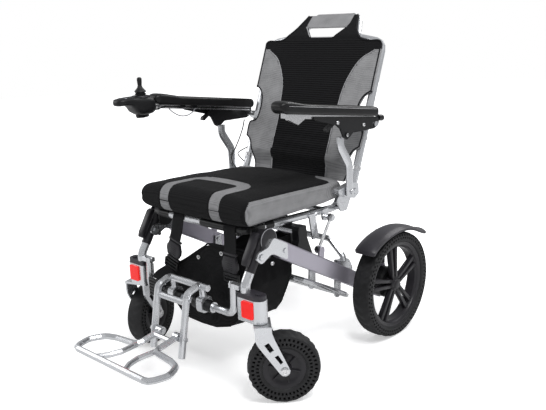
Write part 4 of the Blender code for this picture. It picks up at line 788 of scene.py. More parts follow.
def skinned(bm, thick):
    """Give an open surface an inner face `thick` inside it and close its rim."""
    bm.normal_update()
    edges = [e for e in bm.edges if e.is_boundary]
    faces = bm.faces[:]
    inner = {v: bm.verts.new(v.co - v.normal * thick) for v in bm.verts[:]}
    for face in faces:
        bm.faces.new([inner[v] for v in reversed(face.verts)])
    for edge in edges:
        one, two = edge.verts
        bm.faces.new((one, two, inner[two], inner[one]))
    return outward(bm)


def filled(outline, holes=()):
    """Flat bmesh over (x, 0, rise) of an outline with holes, cut into a fine grid."""
    bm = bmesh.new()
    for loop in (outline, *holes):
        verts = [bm.verts.new((x, 0, z)) for x, z in loop]
        for i, vert in enumerate(verts):
            bm.edges.new((vert, verts[(i + 1) % len(verts)]))
    bmesh.ops.triangle_fill(bm, use_beauty=True, edges=bm.edges[:], normal=(0, -1, 0))
    xs = [p[0] for p in outline]
    zs = [p[1] for p in outline]
    pitch = 0.006
    for axis, low, high in ((0, min(xs), max(xs)), (2, min(zs), max(zs))):
        normal = Vector((1, 0, 0)) if axis == 0 else Vector((0, 0, 1))
        place = low + pitch
        while place < high:
            spot = normal * place
            bmesh.ops.bisect_plane(
                bm, geom=bm.verts[:] + bm.edges[:] + bm.faces[:], plane_co=spot, plane_no=normal
            )
            place += pitch
    return outward(bm)


def thickened(bm, thick):
    """Give a flat sheet over (x, 0, rise) a back face `thick` behind it."""
    made = bmesh.ops.extrude_face_region(bm, geom=bm.faces[:])
    for item in made["geom"]:
        if isinstance(item, bmesh.types.BMVert):
            item.co.y += thick
    return outward(bm)


GREY_EDGE = [
    (0.108, 0.000), (0.109, 0.190), (0.114, 0.245), (0.117, 0.280), (0.126, 0.315), (0.145, 0.354),
    (0.166, 0.380), (0.205, 0.404), (0.240, 0.412),
]


def grey_from(rise):
    """How far from the mid-plane the grey side panel starts at a rise."""
    for (x1, z1), (x2, z2) in zip(GREY_EDGE, GREY_EDGE[1:]):
        if z1 <= rise <= z2:
            return x1 + (x2 - x1) * (rise - z1) / (z2 - z1)
    return 1.0


BACK_SIDE = [
    (0.172, 0.022), (0.178, 0.026), (0.186, 0.066), (0.191, 0.084), (0.203, 0.110), (0.2235, 0.124),
    (0.2245, 0.128), (0.2245, 0.166), (0.198, 0.175), (0.1885, 0.200), (0.1880, 0.240), (0.200, 0.270),
    (0.2235, 0.286), (0.2245, 0.290), (0.2245, 0.408), (0.2215, 0.425), (0.210, 0.4330),
    (0.184, 0.4325), (0.158, 0.4350),
]
EAR_SIDE = [(0.140, 0.4440), (0.118, 0.470), (0.104, 0.500), (0.094, 0.524)]
WINDOW = [(-0.045, 0.445), (0.045, 0.445), (0.076, 0.479), (-0.076, 0.479)]


PADDING_SIDE = [(0.171, 0.050), (0.182, 0.110), (0.182, 0.290), (0.1995, 0.330), (0.1995, 0.375)]
PADDING_SIDE += [(0.184, 0.405), (0.150, 0.418)]


def back_place(point):
    """Lean of the ears and sag of the sling at a point (x, behind, rise) of the back."""
    lean = max(0.0, point.z - 0.450) * 0.030 / 0.070
    hollow = max(0.0, 1 - (point.x / 0.185) ** 2)
    high = max(0.0, math.sin(math.pi * min(1, max(0, (point.z - 0.03) / 0.40)))) ** 0.6
    sag = BACK_SAG * hollow * high
    ripple = 0.0012 * noise.noise(Vector((point.x * 9, 0, point.z * 14)))
    low = max(0.0, min(1.0, (0.088 - point.z) / 0.050))
    tuck = 0.024 * low * low * (3 - 2 * low)
    fold = max(0.0, 1 - abs(point.z - 0.115) / 0.06)
    crease = 0.0016 * math.sin(point.z * 150 + point.x * 9) * fold * hollow
    return Vector((point.x, point.y + lean + sag + ripple + tuck + crease, point.z))


def back_cover():
    """Sling of ribbed mesh with grey side panels, ears, piping and a handle window."""
    bm = thickened(filled(mirrored(BACK_SIDE + EAR_SIDE), (WINDOW,)), 0.0072)
    for vert in bm.verts:
        vert.co.y -= BACK_FRONT
        vert.co = back_place(vert.co)
    for face in bm.faces:
        spot = face.calc_center_median()
        if spot.z < 0.41 and abs(spot.x) > grey_from(spot.z):
            face.material_index = 1
        elif spot.z > 0.478 and abs(spot.x) < 0.079:
            face.material_index = 3
        elif abs(spot.x) > 0.168 or spot.z > 0.437:
            face.material_index = 2
    looks = (MESH, PALE_CLOTH, CLOTH, PALE_CLOTH)
    dressed("back_cover", reclined(bm), looks, "back")
    rear = thickened(filled(mirrored(PADDING_SIDE)), 0.016)
    for vert in rear.verts:
        edge = max(abs(vert.co.x) / 0.19, abs(vert.co.z - 0.235) / 0.19)
        pinch = min(1.0, max(0.0, (1.02 - edge) * 5))
        vert.co.y = -0.0125 + vert.co.y * (0.35 + 0.65 * pinch)
        vert.co = back_place(vert.co)
    piece("back_padding", reclined(rear), CLOTH, "back")
    back_piping()


def edge_line(points, steps):
    """Line of piping on the front face of the back over (x, rise) points."""
    return [back_place(p) for p in smooth_path([(x, -BACK_FRONT - 0.0004, z) for x, z in points], steps)]


def back_piping():
    shapes, pale = [], []
    for side in (1, -1):
        outer = [(min(x, 0.2215) * side, z) for x, z in BACK_SIDE[1:]]
        shapes.append(tube(edge_line(outer, 4), 0.0021))
        ear = [(x * side, z) for x, z in [BACK_SIDE[-1]] + EAR_SIDE]
        shapes.append(tube(edge_line(ear, 5), 0.0021))
        curve = [(x * side, z) for x, z in GREY_EDGE[:-1]]
        curve[0] = (curve[0][0], 0.024)
        pale.append(tube(edge_line(curve, 5), 0.0016))
    piece("back_piping", reclined(joined(*shapes)), PIPING, "back")
    pale.append(tube(edge_line([(-0.040, 0.4435), (0.040, 0.4435)], 6), 0.0015))
    pale.append(tube(edge_line([WINDOW[0], WINDOW[3]], 6), 0.0017))
    piece("back_pale_piping", reclined(joined(*pale)), PALE_PIPING_AND_HIGHLIGHT, "back")
    grip = tube([(x * 0.0098, 0.0300, 0.520) for x in range(-7, 8)], 0.0142, 20)
    piece("handle_wrap", reclined(grip), PALE_CLOTH, "back")


# Bag and straps


BAG_WALL = [
    (-0.165, 0.250), (-0.165, 0.185), (-0.146, 0.150), (-0.118, 0.118), (-0.080, 0.105),
    (-0.020, 0.108), (0.040, 0.118), (0.100, 0.140), (0.124, 0.170), (0.142, 0.208), (0.165, 0.262),
    (0.165, 0.372),
]
BAG_NOSE = [
    (-0.176, 0.250), (-0.170, 0.200), (-0.118, 0.152), (-0.100, 0.136), (-0.070, 0.128),
    (-0.020, 0.126), (0.040, 0.129), (0.096, 0.146), (0.124, 0.170), (0.142, 0.208), (0.162, 0.262),
    (0.165, 0.372),
]
BAG_RIM = [(0.040, 0.368), (0.010, 0.355), (-0.026, 0.333), (-0.082, 0.298)]
BAG_FRONT, BAG_WAIST, BAG_REAR = -0.285, -0.232, -0.1035


def bag_wall(y):
    """Closed side of the bag's outline, drawn in at the front where the casters swing."""
    share = max(0.0, min(1.0, (BAG_WAIST - y) / (BAG_WAIST - BAG_FRONT)))
    return [Vector(a).lerp(Vector(b), share) for a, b in zip(BAG_WALL, BAG_NOSE)]


def bag_rides(thing):
    """Bake the placement of a bag piece into its mesh."""
    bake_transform(thing)


def bag_sheet(y):
    panel = filled([(p.x, p.y) for p in bag_wall(y)] + BAG_RIM)
    return moved(panel, lambda p: Vector((p.x, y, p.z)))


def bag_pinch(point):
    """How near a point of the bag lies to its hem, from 0 at the hem to 1 well inside."""
    near = 1.0
    loop = bag_wall(point.y) + BAG_RIM
    for i, one in enumerate(loop):
        a, b = Vector(one), Vector(loop[(i + 1) % len(loop)])
        p = Vector((point.x, point.z))
        share = max(0.0, min(1.0, (p - a).dot(b - a) / (b - a).length_squared))
        near = min(near, (p - a - (b - a) * share).length / 0.045)
    return near


def storage_bag():
    """Slack cloth bag hung under the seat, with a hem round its open top."""
    half_deep = (BAG_REAR - BAG_FRONT) / 2
    front, rear = bag_sheet(BAG_FRONT), bag_sheet(BAG_REAR)
    side = bmesh.new()
    rows = []
    for y in [BAG_FRONT + (BAG_REAR - BAG_FRONT) * k / 12 for k in range(13)]:
        rows.append([side.verts.new((p.x, y, p.y)) for p in bag_wall(y)])
    for one, two in zip(rows, rows[1:]):
        for k in range(len(one) - 1):
            side.faces.new((one[k], one[k + 1], two[k + 1], two[k]))
    bmesh.ops.subdivide_edges(side, edges=side.edges[:], cuts=2, use_grid_fill=True)
    shell = joined(front, rear, side)
    bmesh.ops.remove_doubles(shell, verts=shell.verts, dist=0.0004)
    bmesh.ops.recalc_face_normals(shell, faces=shell.faces)
    for vert in shell.verts:
        p = vert.co
        deep = bag_pinch(p)
        swell = math.sin(math.pi / 2 * deep)
        crease = noise.noise(Vector((p.x * 13 + p.z * 6, p.y * 4, p.z * 9)))
        fold = noise.noise(Vector((p.x * 30 - p.z * 22, p.y * 9, p.z * 34 + 7)))
        move = swell * (0.0060 * crease + 0.0026 * fold)
        if p.y < BAG_FRONT + 0.001:
            p.y += 0.0045 - 0.0050 * swell - move
        elif p.y > BAG_REAR - 0.001:
            p.y -= 0.0045 - 0.0040 * swell + move
        else:
            p.x -= math.copysign(0.0030, p.x) * (1 - abs((p.y - BAG_FRONT) / half_deep - 1))
            p.z += 0.0020 + 0.0020 * crease
    skinned(shell, 0.0022)
    bag_rides(dressed("storage_bag", shell, CLOTH, None))
    bag_trim()


def bag_trim():
    """Hem and eyelets of the bag."""
    hem = []
    for y in (BAG_FRONT + 0.0040, BAG_REAR - 0.0040):
        loop = [bag_wall(y)[-1]] + BAG_RIM + [bag_wall(y)[0]]
        hem.append(tube(smooth_path([(x, y, z) for x, z in loop], 5), 0.0026, 8))
    bag_rides(piece("bag_hem", joined(*hem), PIPING, None))
    rings = []
    for x, z in ((-0.012, 0.322), (0.080, 0.350)):
        profile = [(BAG_FRONT + 0.0010, 0.0030), (BAG_FRONT - 0.0014, 0.0034), (BAG_FRONT - 0.0014, 0.0056)]
        profile += [(BAG_FRONT + 0.0010, 0.0060)]
        rings.append(lathe(profile, (x, z), 20, "Y", closed=True))
    bag_rides(piece("bag_eyelets", joined(*rings), STEEL, None))


def bag_straps():
    """Two webbing straps looped over the seat's front bar, with buckles and adjusters."""
    reach = BAR + 0.0018
    front = BAR_Y - BAR - 0.0030
    shapes = []
    for top, foot in (((-0.068, 0.426), (-0.110, 0.276)), ((0.131, 0.426), (0.134, 0.290))):
        path = [(top[0], y, z) for y, z in arc((BAR_Y, BAR_Z), reach, 95, 185, 10)]
        for step in range(1, 13):
            share = step / 12
            bow = 0.0018 * math.sin(math.pi * share * 3)
            x, z = (a + (b - a) * share for a, b in zip(top, foot))
            path.append((x, front + bow, z))
        shapes.append(ribbon(path, 0.042, 0.0020, lambda i, p=path: loop_face(p, i)))
    band = [(x, BAR_Y + reach, BAR_Z) for x in (-0.080, 0.145)]
    shapes.append(ribbon(band, 0.016, 0.0020, (0, -1, 0)))
    for x in (-0.068, 0.131):
        path = [(x, y, z) for y, z in arc((BAR_Y, BAR_Z), reach, -30, 90, 8)]
        shapes.append(ribbon(path, 0.042, 0.0020, lambda i, p=path: loop_face(p, i)))
    dressed("bag_straps", joined(*shapes), WEBBING, "seat")
    strap_buckle("strap_buckle_r", (-0.093, 0.331), 0.26, front)
    strap_buckle("strap_buckle_l", (0.130, 0.332), 0.0, front)
    adjuster("strap_adjuster_r", (-0.108, 0.288), 0.26, front)
    adjuster("strap_adjuster_l", (0.133, 0.299), 0.0, front)
    tail = [(-0.110, front, 0.276), (-0.119, front - 0.010, 0.266), (-0.126, front - 0.030, 0.258)]
    tail += [(-0.128, front - 0.044, 0.252)]
    strip = ribbon(smooth_path(tail, 4), 0.036, 0.0020, (0, -1, 0))
    piece("strap_tail", strip, WEBBING, "seat")
    keeper()


def keeper():
    """Ribbed strap keeper and its webbing loop round the cross tube."""
    shapes = []
    for k in range(6):
        z = 0.2030 + 0.0088 * k
        shapes.append(box((-0.1510, -0.3545, z), (-0.1030, -0.3475, z + 0.0062), 0.0016))
    for x in (-0.1515, -0.1065):
        shapes.append(box((x, -0.3535, 0.2020), (x + 0.0040, -0.3480, 0.2540), 0.0012))
    piece("strap_keeper", joined(*shapes), BLACK, "front_frame")
    band = [Vector((-0.127, y, z)) for y, z in arc(CROSS_TUBE, 0.0113, 0, 345, 24)]
    middle = Vector((-0.127, *CROSS_TUBE))
    loop = ribbon(band + band[:1], 0.038, 0.0018, lambda i: band[i % 25] - middle)
    piece("strap_keeper_band", loop, WEBBING, "front_frame")


def loop_face(path, index):
    """Outward way of a strap round the seat bar."""
    point = path[index]
    if point[2] < 0.4265:
        return (0, -1, 0)
    return (0, point[1] - BAR_Y, point[2] - BAR_Z)


def tilted(bm, middle, tilt):
    turn = Matrix.Rotation(tilt, 3, "Y")
    origin = Vector((middle[0], 0, middle[1]))
    return moved(bm, lambda p: turn @ p + origin)


def strap_buckle(name, middle, tilt, front):
    """Side-release buckle with ribbed body, end bars and release tabs."""
    face = front - 0.0058
    body = [(-0.022, -0.019), (0.022, -0.019), (0.026, -0.006), (0.026, 0.008), (0.021, 0.024)]
    body += [(-0.021, 0.024), (-0.026, 0.008), (-0.026, -0.006)]
    shapes = [rounded(slab(body, "Y", face, front + 0.0046), 0.0026)]
    for z in (-0.026, 0.0305):
        bar = box((-0.024, face + 0.0020, z - 0.0030), (0.024, front + 0.0036, z + 0.0030), 0.0012)
        shapes.append(bar)
    for x in (-0.0225, 0.0225):
        tab = box((x - 0.0060, face + 0.0012, -0.008), (x + 0.0060, front + 0.003, 0.010), 0.0015)
        shapes.append(tab)
    for k in range(5):
        z = -0.012 + 0.0055 * k
        shapes.append(box((-0.012, face - 0.0010, z), (0.012, face + 0.001, z + 0.0022), 0.0005))
    piece(name, tilted(joined(*shapes), middle, tilt), DARK, "seat")


def adjuster(name, middle, tilt, front):
    """Tri-glide of three ribbed bars."""
    shapes = []
    for z in (-0.010, 0.0, 0.010):
        shapes.append(box((-0.025, front - 0.0045, z - 0.0026), (0.025, front + 0.0030, z + 0.0026), 0.0010))
    for x in (-0.0245, 0.0245):
        shapes.append(box((x - 0.0025, front - 0.0045, -0.012), (x + 0.0025, front + 0.0030, 0.012), 0.0010))
    piece(name, tilted(joined(*shapes), middle, tilt), BLACK, "seat")


# Armrests and controller


def arm_pad(side):
    """Moulded pad with a softly crowned top and rounded nose, and a thin pale line along its upper outer edge
    that is a painted highlight.
    """
    front, rear = -0.2275, 0.1755
    loop = oval(48, 0.42, 2.0, 1.0)
    rings = []
    steps = 64
    for i in range(steps + 1):
        share = 0.5 - 0.5 * math.cos(math.pi * i / steps)
        y = front + (rear - front) * share
        nose = min(1.0, (y - front) / 0.022)
        tail = min(1.0, (rear - y) / 0.012)
        swell = max(0.03, math.sqrt(max(0.0, 1 - (1 - nose) ** 2)) * math.sqrt(max(0.0, 1 - (1 - tail) ** 2)))
        half_high = 0.0122 + 0.0026 * max(0.0, min(1.0, (-0.130 - y) / 0.06))
        middle = pad_bottom(y) + half_high
        ring = []
        for c, s in loop:
            x = ARM_X + 0.0238 * c * (0.55 + 0.45 * swell)
            if y > 0.070:
                x = max(x, 0.2276)
            skirt = 0.0018 * min(1.0, max(0.0, abs(c) - 0.5) * 6) * swell
            z = middle + half_high * swell * s + (0.0012 * (1 - c * c) if s > 0 else -skirt)
            ring.append((x * SIDES[side], y, z))
        rings.append(ring)
    thing = dressed("arm_pad", loft(rings), LEATHER, "arm_" + side, side)
    # Painted highlight: a thin pale tube along the pad's upper outer edge, in the pale piping look.
    highlight_line = []
    for step in range(50):
        y = -0.205 + 0.365 * step / 49
        highlight_line.append(((ARM_X + 0.0232) * SIDES[side], y, pad_bottom(y) + 0.0185))
    piece("arm_seam_" + side, tube(highlight_line, 0.0009, 6), PALE_PIPING_AND_HIGHLIGHT, "arm_" + side)


def joystick():
    """Upright stick with a rubber bellows of two ribs and a bell above them."""
    pivot = 0.7305
    stick = [(pivot - 0.005, 0), (pivot - 0.005, 0.003), (0.7690, 0.003), (0.7700, 0.0048)]
    stick += [(0.7745, 0.0056), (0.7800, 0.0062), (0.7880, 0.0068), (0.7930, 0.0066), (0.7955, 0.0048)]
    stick += [(0.7965, 0.0022), (0.7966, 0)]
    dressed("joystick_stick", lathe(stick, STICK_PLACE, 28, "Z"), SOFT, "stick")
    outside = [(0.7400, 0.0172), (0.7455, 0.0166), (0.7475, 0.0140), (0.7485, 0.0140), (0.7500, 0.0166)]
    outside += [(0.7510, 0.0166), (0.7525, 0.0130), (0.7540, 0.0130), (0.7560, 0.0164), (0.7568, 0.0165)]
    outside += [(0.7585, 0.0158), (0.7620, 0.0130), (0.7660, 0.0092), (0.7700, 0.0066), (0.7728, 0.0064)]
    outside += [(0.7735, 0.0058), (0.7735, 0.0048)]
    inside = [(0.7690, 0.0048), (0.7560, 0.0120), (0.7450, 0.0152), (0.7400, 0.0158)]
    bm = lathe(outside + inside, STICK_PLACE, 44, "Z", closed=True)
    dressed("joystick_boot", bm, SOFT, "stick")


HOUSING_SECTIONS = [
    (-0.3510, 0.7320, 0.004, 0.003), (-0.3495, 0.7325, 0.012, 0.007), (-0.3440, 0.7335, 0.019, 0.0095),
    (-0.3300, 0.7345, 0.023, 0.0105), (-0.3120, 0.7340, 0.024, 0.0120),
    (-0.3020, 0.7300, 0.025, 0.0165), (-0.2940, 0.7240, 0.026, 0.0225),
    (-0.2800, 0.7200, 0.027, 0.0265), (-0.2640, 0.7195, 0.027, 0.0275),
    (-0.2480, 0.7190, 0.0268, 0.0265), (-0.2360, 0.7180, 0.0250, 0.0235),
    (-0.2300, 0.7170, 0.0220, 0.0190), (-0.2285, 0.7165, 0.0170, 0.0140),
]


def controller_housing():
    """Rounded control box: a flat nose with the buttons and a deep bowl under the stick."""
    rings = []
    for y, z, wide, high in HOUSING_SECTIONS:
        rings.append([(-ARM_X + c * wide, y, z + s * high) for c, s in oval(48, 0.62)])
    dressed("joystick_housing", loft(rings), BLACK, "arm_r")
    collar = [(0.7430, 0.0240), (0.7462, 0.0240), (0.7462, 0.0247), (0.7448, 0.0256), (0.7430, 0.0258)]
    ring = lathe(collar, STICK_PLACE, 36, "Z", closed=True)
    piece("joystick_collar", ring, SMOKE, "arm_r")
    plug = [(-0.281, 0.0), (-0.281, 0.006), (-0.262, 0.0075), (-0.244, 0.006), (-0.244, 0.0)]
    piece("controller_plug", lathe(plug, (-ARM_X, 0.6905), 18, "Y"), BLACK, "arm_r")
    clip = [(-ARM_X, y, z) for y, z in ((-0.2270, 0.733), (-0.2262, 0.716), (-0.2256, 0.703))]
    shapes = [ribbon(clip, 0.020, 0.0016, (0, -1, 0))]
    shapes.append(box((-0.2490, -0.2262, 0.7010), (-0.2290, -0.2080, 0.7028), 0.0005))
    piece("controller_clip", joined(*shapes), STEEL, "arm_r")


# Wheels


def tyre(half, outer, depth, rows, steps, tread):
    """Perforated solid tyre over (along the axle, radius), with recessed holes in its sides; the holes take
    the second look, a painted shade.
    """
    inner = outer - depth
    reach = 0.095
    flank = [(-0.80, 0.0), (-0.95, 0.10), (-0.99, 0.18)]
    for share in rows:
        flank += [(-1.0, share - reach), (-1.0, share + reach)]
    crown = [(-0.96, 0.885), (-0.80, 0.955), (-0.52, 0.985), (-0.26, 1.0)]
    shape = flank + crown + [(0.0, 1.0)] + [(-x, r) for x, r in (flank + crown)[::-1]]
    bm = lathe([(x * half, inner + depth * r) for x, r in shape], (0, 0), steps, "X", closed=True)
    holes = []
    for face in bm.faces:
        spot = face.calc_center_median()
        radius = math.hypot(spot.y, spot.z)
        number = int((math.atan2(spot.z, spot.y) % (2 * math.pi)) / (2 * math.pi) * steps)
        for index, share in enumerate(rows):
            in_row = abs(radius - (inner + depth * share)) < depth * 0.03
            if in_row and number % 2 == index % 2 and abs(spot.x) > half * 0.97:
                holes.append(face)
    bmesh.ops.inset_individual(bm, faces=holes, thickness=0.0005)
    for vert in {v for f in holes for v in f.verts}:
        vert.co.x -= math.copysign(0.0050, vert.co.x)
    # The holes take material 1, near-black rubber that is a painted shade in the recesses.
    for face in holes:
        face.material_index = 1
    for vert in bm.verts:
        radius = math.hypot(vert.co.y, vert.co.z)
        if radius < inner + depth * 0.94:
            continue
        angle = math.atan2(vert.co.z, vert.co.y)
        wave = math.sin(angle * tread + 1.6 * abs(vert.co.x) / half * math.pi)
        groove = 0.0 if wave > -0.10 else 0.0028
        vert.co.y *= (radius - groove) / radius
        vert.co.z *= (radius - groove) / radius
    return outward(bm)


def on_caster(bm, side):
    """Put a wheel drawn about its own axle on a caster's trailing axle."""
    return turned(moved(bm, lambda p: Vector((CASTER_TRAIL + p.y, p.x, CASTER_RADIUS + p.z))), side)


def tyres():
    # The second look is the tyre rubber made near black, a painted shade for the holes.
    looks = (TYRE, rubber("tyre_hole_painted_shade", (0.001, 0.001, 0.001), 0.95))
    for side, way in SIDES.items():
        wheel = tyre(0.028, DRIVE_RADIUS - 0.0002, 0.031, (0.42, 0.72), 144, 36)
        moved(wheel, lambda p, x=DRIVE_X * way: Vector((p.x + x, p.y + AXLE_Y, p.z + DRIVE_RADIUS)))
        dressed("drive_tyre", wheel, looks, "drive_wheel_" + side, side)
        small = tyre(0.024, CASTER_RADIUS - 0.0002, 0.038, (0.34, 0.66), 88, 22)
        dressed("caster_tyre", on_caster(small, side), looks, "caster_wheel_" + side, side)


def caster_rim(side):
    """Moulded disc with ribs, its bearing boss, and the bright caps of its axle."""
    half, end = 0.0192, 0.033
    face = [(-0.0250, 0.0062), (-0.0250, 0.0135), (-0.0225, 0.0160), (-half + 0.0050, 0.0190)]
    face += [(-half + 0.0062, 0.0350), (-half + 0.0030, 0.0400), (-half, 0.0450), (-half, 0.0546)]
    shapes = [lathe(mirrored(face), (0, 0), 72, "X", closed=True)]
    for k in range(6):
        turn = Matrix.Rotation(math.radians(60 * k + 15), 3, "X")
        for way in (1, -1):
            low, high = sorted((0.0120 * way, 0.0185 * way))
            rib = box((low, -0.0016, 0.0170), (high, 0.0016, 0.0410), 0.0006)
            shapes.append(moved(rib, lambda p, t=turn: t @ p))
    cap = [(0.0250, 0.0), (0.0250, 0.0058), (end + 0.0006, 0.0058), (end + 0.0006, 0.0105)]
    cap += [(end + 0.0030, 0.0105), (end + 0.0045, 0.0085), (end + 0.0045, 0.0045), (end + 0.0030, 0.0040)]
    cap += [(end + 0.0030, 0.0)]
    for way in (1, -1):
        shapes.append(paint(lathe([(x * way, r) for x, r in cap], (0, 0), 28, "X"), 1))
    wheel = on_caster(joined(*shapes), side)
    dressed("caster_rim", wheel, (DARK, STEEL), "caster_wheel_" + side, side)


def drive_rim(side):
    """Rim ring with a stepped lip, five twin spokes, and a hub with its cap and screws."""
    way = SIDES[side]
    outer = DRIVE_RADIUS - 0.0313
    inner = outer - 0.0165
    half = 0.0222
    centre = (AXLE_Y, DRIVE_RADIUS)
    ring = [(-half, outer), (-half, outer - 0.004), (-half + 0.004, outer - 0.007), (-half + 0.009, inner)]
    ring += [(half - 0.010, inner), (half - 0.007, inner + 0.004), (half - 0.003, inner + 0.006)]
    ring += [(half - 0.0015, outer - 0.006), (half, outer - 0.004), (half, outer)]
    shapes = [lathe([((DRIVE_X + x) * way, r) for x, r in ring], centre, 120, "X", closed=True)]
    for pair in range(5):
        heading = math.radians(95 - 72 * pair)
        heading = heading if way > 0 else math.pi - heading
        for lean in (-1, 1):
            shapes.append(spoke_bar(heading, lean, centre, inner + 0.0025, way))
    hub = [(0.2640, 0.0085), (0.2640, 0.022), (0.2860, 0.022), (0.2895, 0.0190), (0.2905, 0.0165)]
    hub += [(0.2905, 0.0135), (0.2925, 0.0125), (0.2940, 0.0095), (0.2945, 0.0)]
    shapes.append(lathe([(x * way, r) for x, r in hub], centre, 40, "X"))
    for k in range(5):
        angle = math.radians(95 - 72 * k + 36)
        spot = (centre[0] + 0.0172 * math.cos(angle) * way, centre[1] + 0.0172 * math.sin(angle))
        shapes.append(bolt("X", spot, 0.2885 * way, way, 0.0026))
    dressed("drive_rim", joined(*shapes), DARK, "drive_wheel_" + side, side)


def spoke_bar(heading, lean, centre, reach, way):
    """One bar of a twin spoke, deeper at its edges than along its middle groove."""
    shift = 0.0078 * lean
    outline = [(0.019, shift - 0.0050), (0.060, shift * 1.25 - 0.0050), (reach, shift * 1.7 - 0.0066)]
    outline += [(reach, shift * 1.7 + 0.0066), (0.060, shift * 1.25 + 0.0050), (0.019, shift + 0.0050)]
    spots = []
    for along, across in outline:
        y = along * math.cos(heading) - across * math.sin(heading)
        z = along * math.sin(heading) + across * math.cos(heading)
        spots.append((centre[0] + y, centre[1] + z))
    return rounded(slab(spots, "X", 0.2710 * way, 0.2862 * way), 0.0016)


def fender(side):
    """Domed mudguard with a rolled edge, flared front and rounded tail."""
    way = SIDES[side]
    top = [(-0.143, 0.127), (-0.136, 0.140), (-0.112, 0.154), (-0.072, 0.168), (-0.022, 0.1760)]
    top += [(0.023, 0.1755), (0.068, 0.166), (0.106, 0.150), (0.128, 0.1415), (0.146, 0.1385)]
    line = smooth_path([(0, AXLE_Y + y, DRIVE_RADIUS + z) for y, z in top], 7)
    count = len(line)
    middle, half = 0.271 * way, 0.0345
    rings = []
    for i, spot in enumerate(line):
        ahead = (line[min(i + 1, count - 1)] - line[max(i - 1, 0)]).normalized()
        out = Vector((0, -ahead.z, ahead.y))
        end = min(i / 5, (count - 1 - i) / 6, 1.0)
        wide = half * (0.80 + 0.20 * math.sqrt(max(0.0, 1 - (1 - end) ** 2)))
        ring = []
        for thick, order in ((0.0, range(21)), (0.0030, range(20, -1, -1))):
            for k in order:
                share = k / 10 - 1
                dome = 0.0015 - 0.0090 * abs(share) ** 3.2
                rim = 0.0008 if abs(share) > 0.94 else 0.0
                level = dome - thick * (1 if abs(share) < 0.99 else 1.4) + (rim if thick == 0 else -rim)
                ring.append(Vector((middle + wide * share * way, spot.y, spot.z)) + out * level)
        rings.append(ring)
    shapes = [loft(rings)]
    bracket = [(-0.022, 0.054), (-0.026, 0.166), (0.018, 0.166), (0.016, 0.054)]
    bracket = [(AXLE_Y + y, DRIVE_RADIUS + z) for y, z in bracket]
    shapes.append(rounded(slab(bracket, "X", 0.2293 * way, 0.2373 * way), 0.0015))
    dressed("fender", joined(*shapes), SMOKE, "chassis", side)


# Small parts that the plain model leaves out


def leg_heads():
    """Dark cast shoulders on the front legs, sleeves on the seat's front bar and on the cross tube."""
    for side, way in SIDES.items():
        shapes = []
        cover = arc(LEG_HEAD, 0.0285, -25, 205, 22)
        cover += [(-0.2930, 0.3700), (-0.2790, 0.3560), (-0.2500, 0.3560)]
        shapes.append(rounded(slab(cover, "X", 0.2198 * way, 0.2229 * way), 0.0008))
        sleeve = [(0.2075 * way, y, z) for y, z in ((-0.3110, 0.3315), (-0.2955, 0.3555), (-0.2720, 0.3920))]
        shapes.append(tube(sleeve, 0.0132, 20))
        bar = [(-0.2920, 0.4250), (-0.2830, 0.4290), (-0.2760, 0.4240), (-0.3120, 0.3660), (-0.3220, 0.3500)]
        bar += [(-0.3300, 0.3560), (-0.3260, 0.3700)]
        shapes.append(rounded(slab(bar, "X", 0.1975 * way, 0.2175 * way), 0.0020))
        piece("leg_shoulder_" + side, joined(*shapes), DARK, "front_frame")
        rim = [(0.2226 * way, y, z) for y, z in arc(LEG_HEAD, 0.0280, -20, 200, 26)]
        piece("leg_shoulder_rim_" + side, tube(rim, 0.0009, 6), GREY, "front_frame")
    sleeves = []
    for low, high in ((0.016, 0.107), (-0.152, -0.112)):
        profile = [(low, 0.0113), (low, 0.0117), (high, 0.0117), (high, 0.0113)]
        sleeves.append(lathe(profile, (BAR_Y, BAR_Z), 24, "X", closed=True))
    piece("seat_bar_sleeves", joined(*sleeves), BLACK, "seat")
    cross = []
    for way in (1, -1):
        low, high = sorted((0.022 * way, 0.095 * way))
        profile = [(low, 0.0147), (low, 0.0153), (low + 0.003, 0.0160), (high - 0.003, 0.0160)]
        profile += [(high, 0.0153), (high, 0.0147)]
        cross.append(lathe(profile, CROSS_TUBE, 28, "X", closed=True))
    piece("cross_tube_sleeves", joined(*cross), BLACK, "front_frame")


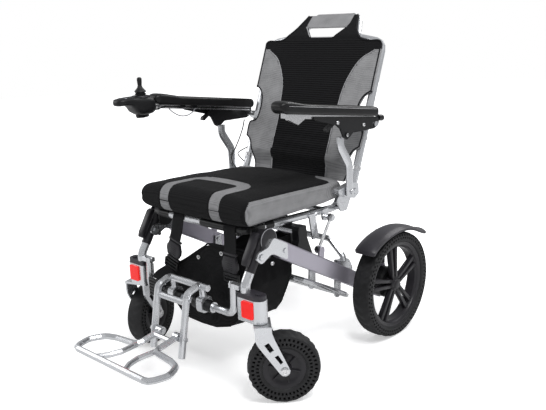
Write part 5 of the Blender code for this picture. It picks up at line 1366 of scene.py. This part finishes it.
def fasteners():
    """Button-head screws with hexagon sockets where the pieces are pinned."""
    groups = {
        "chassis": [(0.2245, -0.200, 0.3640), (0.2245, -0.246, 0.3420), (0.2135, 0.205, 0.1900)],
        "arm": [(0.2534, -0.006, 0.6700), (0.2534, 0.110, 0.6500), (0.2534, 0.0340, 0.6320)],
        "back": [(0.2398, 0.0712, 0.4680)],
        "front_frame": [(0.2290, -0.287, 0.3690)],
    }
    for side, way in SIDES.items():
        for body, spots in groups.items():
            shapes = [bolt("X", (y, z), x * way, way, 0.0056) for x, y, z in spots]
            owner = "arm_" + side if body == "arm" else body
            piece(f"screws_{body}_{side}", joined(*shapes), STEEL, owner)


def back_clamps():
    """Clamp rings on the back tubes, under the armrest posts."""
    shapes = []
    for way in (1, -1):
        for rise, long in ((0.060, 0.009), (0.150, 0.007)):
            start, end = Vector((0.2135 * way, 0, rise)), Vector((0.2135 * way, 0, rise + long))
            shapes.append(tube([start, end], 0.0132, 24))
    piece("back_tube_clamps", reclined(joined(*shapes)), STEEL, "back")


# Carried-over pieces


def dress_nodes():
    """Give each CAD node that stays the look of its material slot, or its own look."""
    seat_zones = [((-0.3, -0.216, 0.40), (0.3, -0.184, 0.44))]
    pairs = [((0.150, -0.32, 0.40), (0.195, -0.262, 0.46)), ((0.1795, -0.29, 0.36), (0.187, -0.22, 0.45))]
    for low, high in pairs:
        seat_zones += [(low, high), ((-high[0], *low[1:]), (-low[0], *high[1:]))]
    leg_zones = [((-0.3, -0.34, 0.378), (0.3, -0.22, 0.45))]
    own = {
        "seat_frame": zoned(SILVER, "seat_frame_look", (0.010, 0.010, 0.011), seat_zones),
        "front_leg": zoned(SILVER, "front_leg_look", (0.016, 0.015, 0.018), leg_zones),
        "side_beam": LILAC,
        "seat_support": BLACK,
        "arm_bracket": BLACK,
        "housing_cap": SMOKE,
    }
    for name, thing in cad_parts.items():
        looks = [look for start, look in own.items() if name.startswith(start)]
        for place in thing.material_slots:
            words = place.material.name.split(".")[0]
            if looks:
                place.material = looks[0]
            elif words in SLOTS:
                place.material = SLOTS[words]


# The scene, cords and camera first

add_camera()
cables()
add_studio()
add_floor()
dress_nodes()
seat_cushion()
back_cover()
storage_bag()
bag_straps()
for arm_side in SIDES:
    arm_pad(arm_side)
joystick()
controller_housing()
tyres()
for wheel_side in SIDES:
    drive_rim(wheel_side)
    caster_rim(wheel_side)
    fender(wheel_side)
leg_heads()
fasteners()
back_clamps()
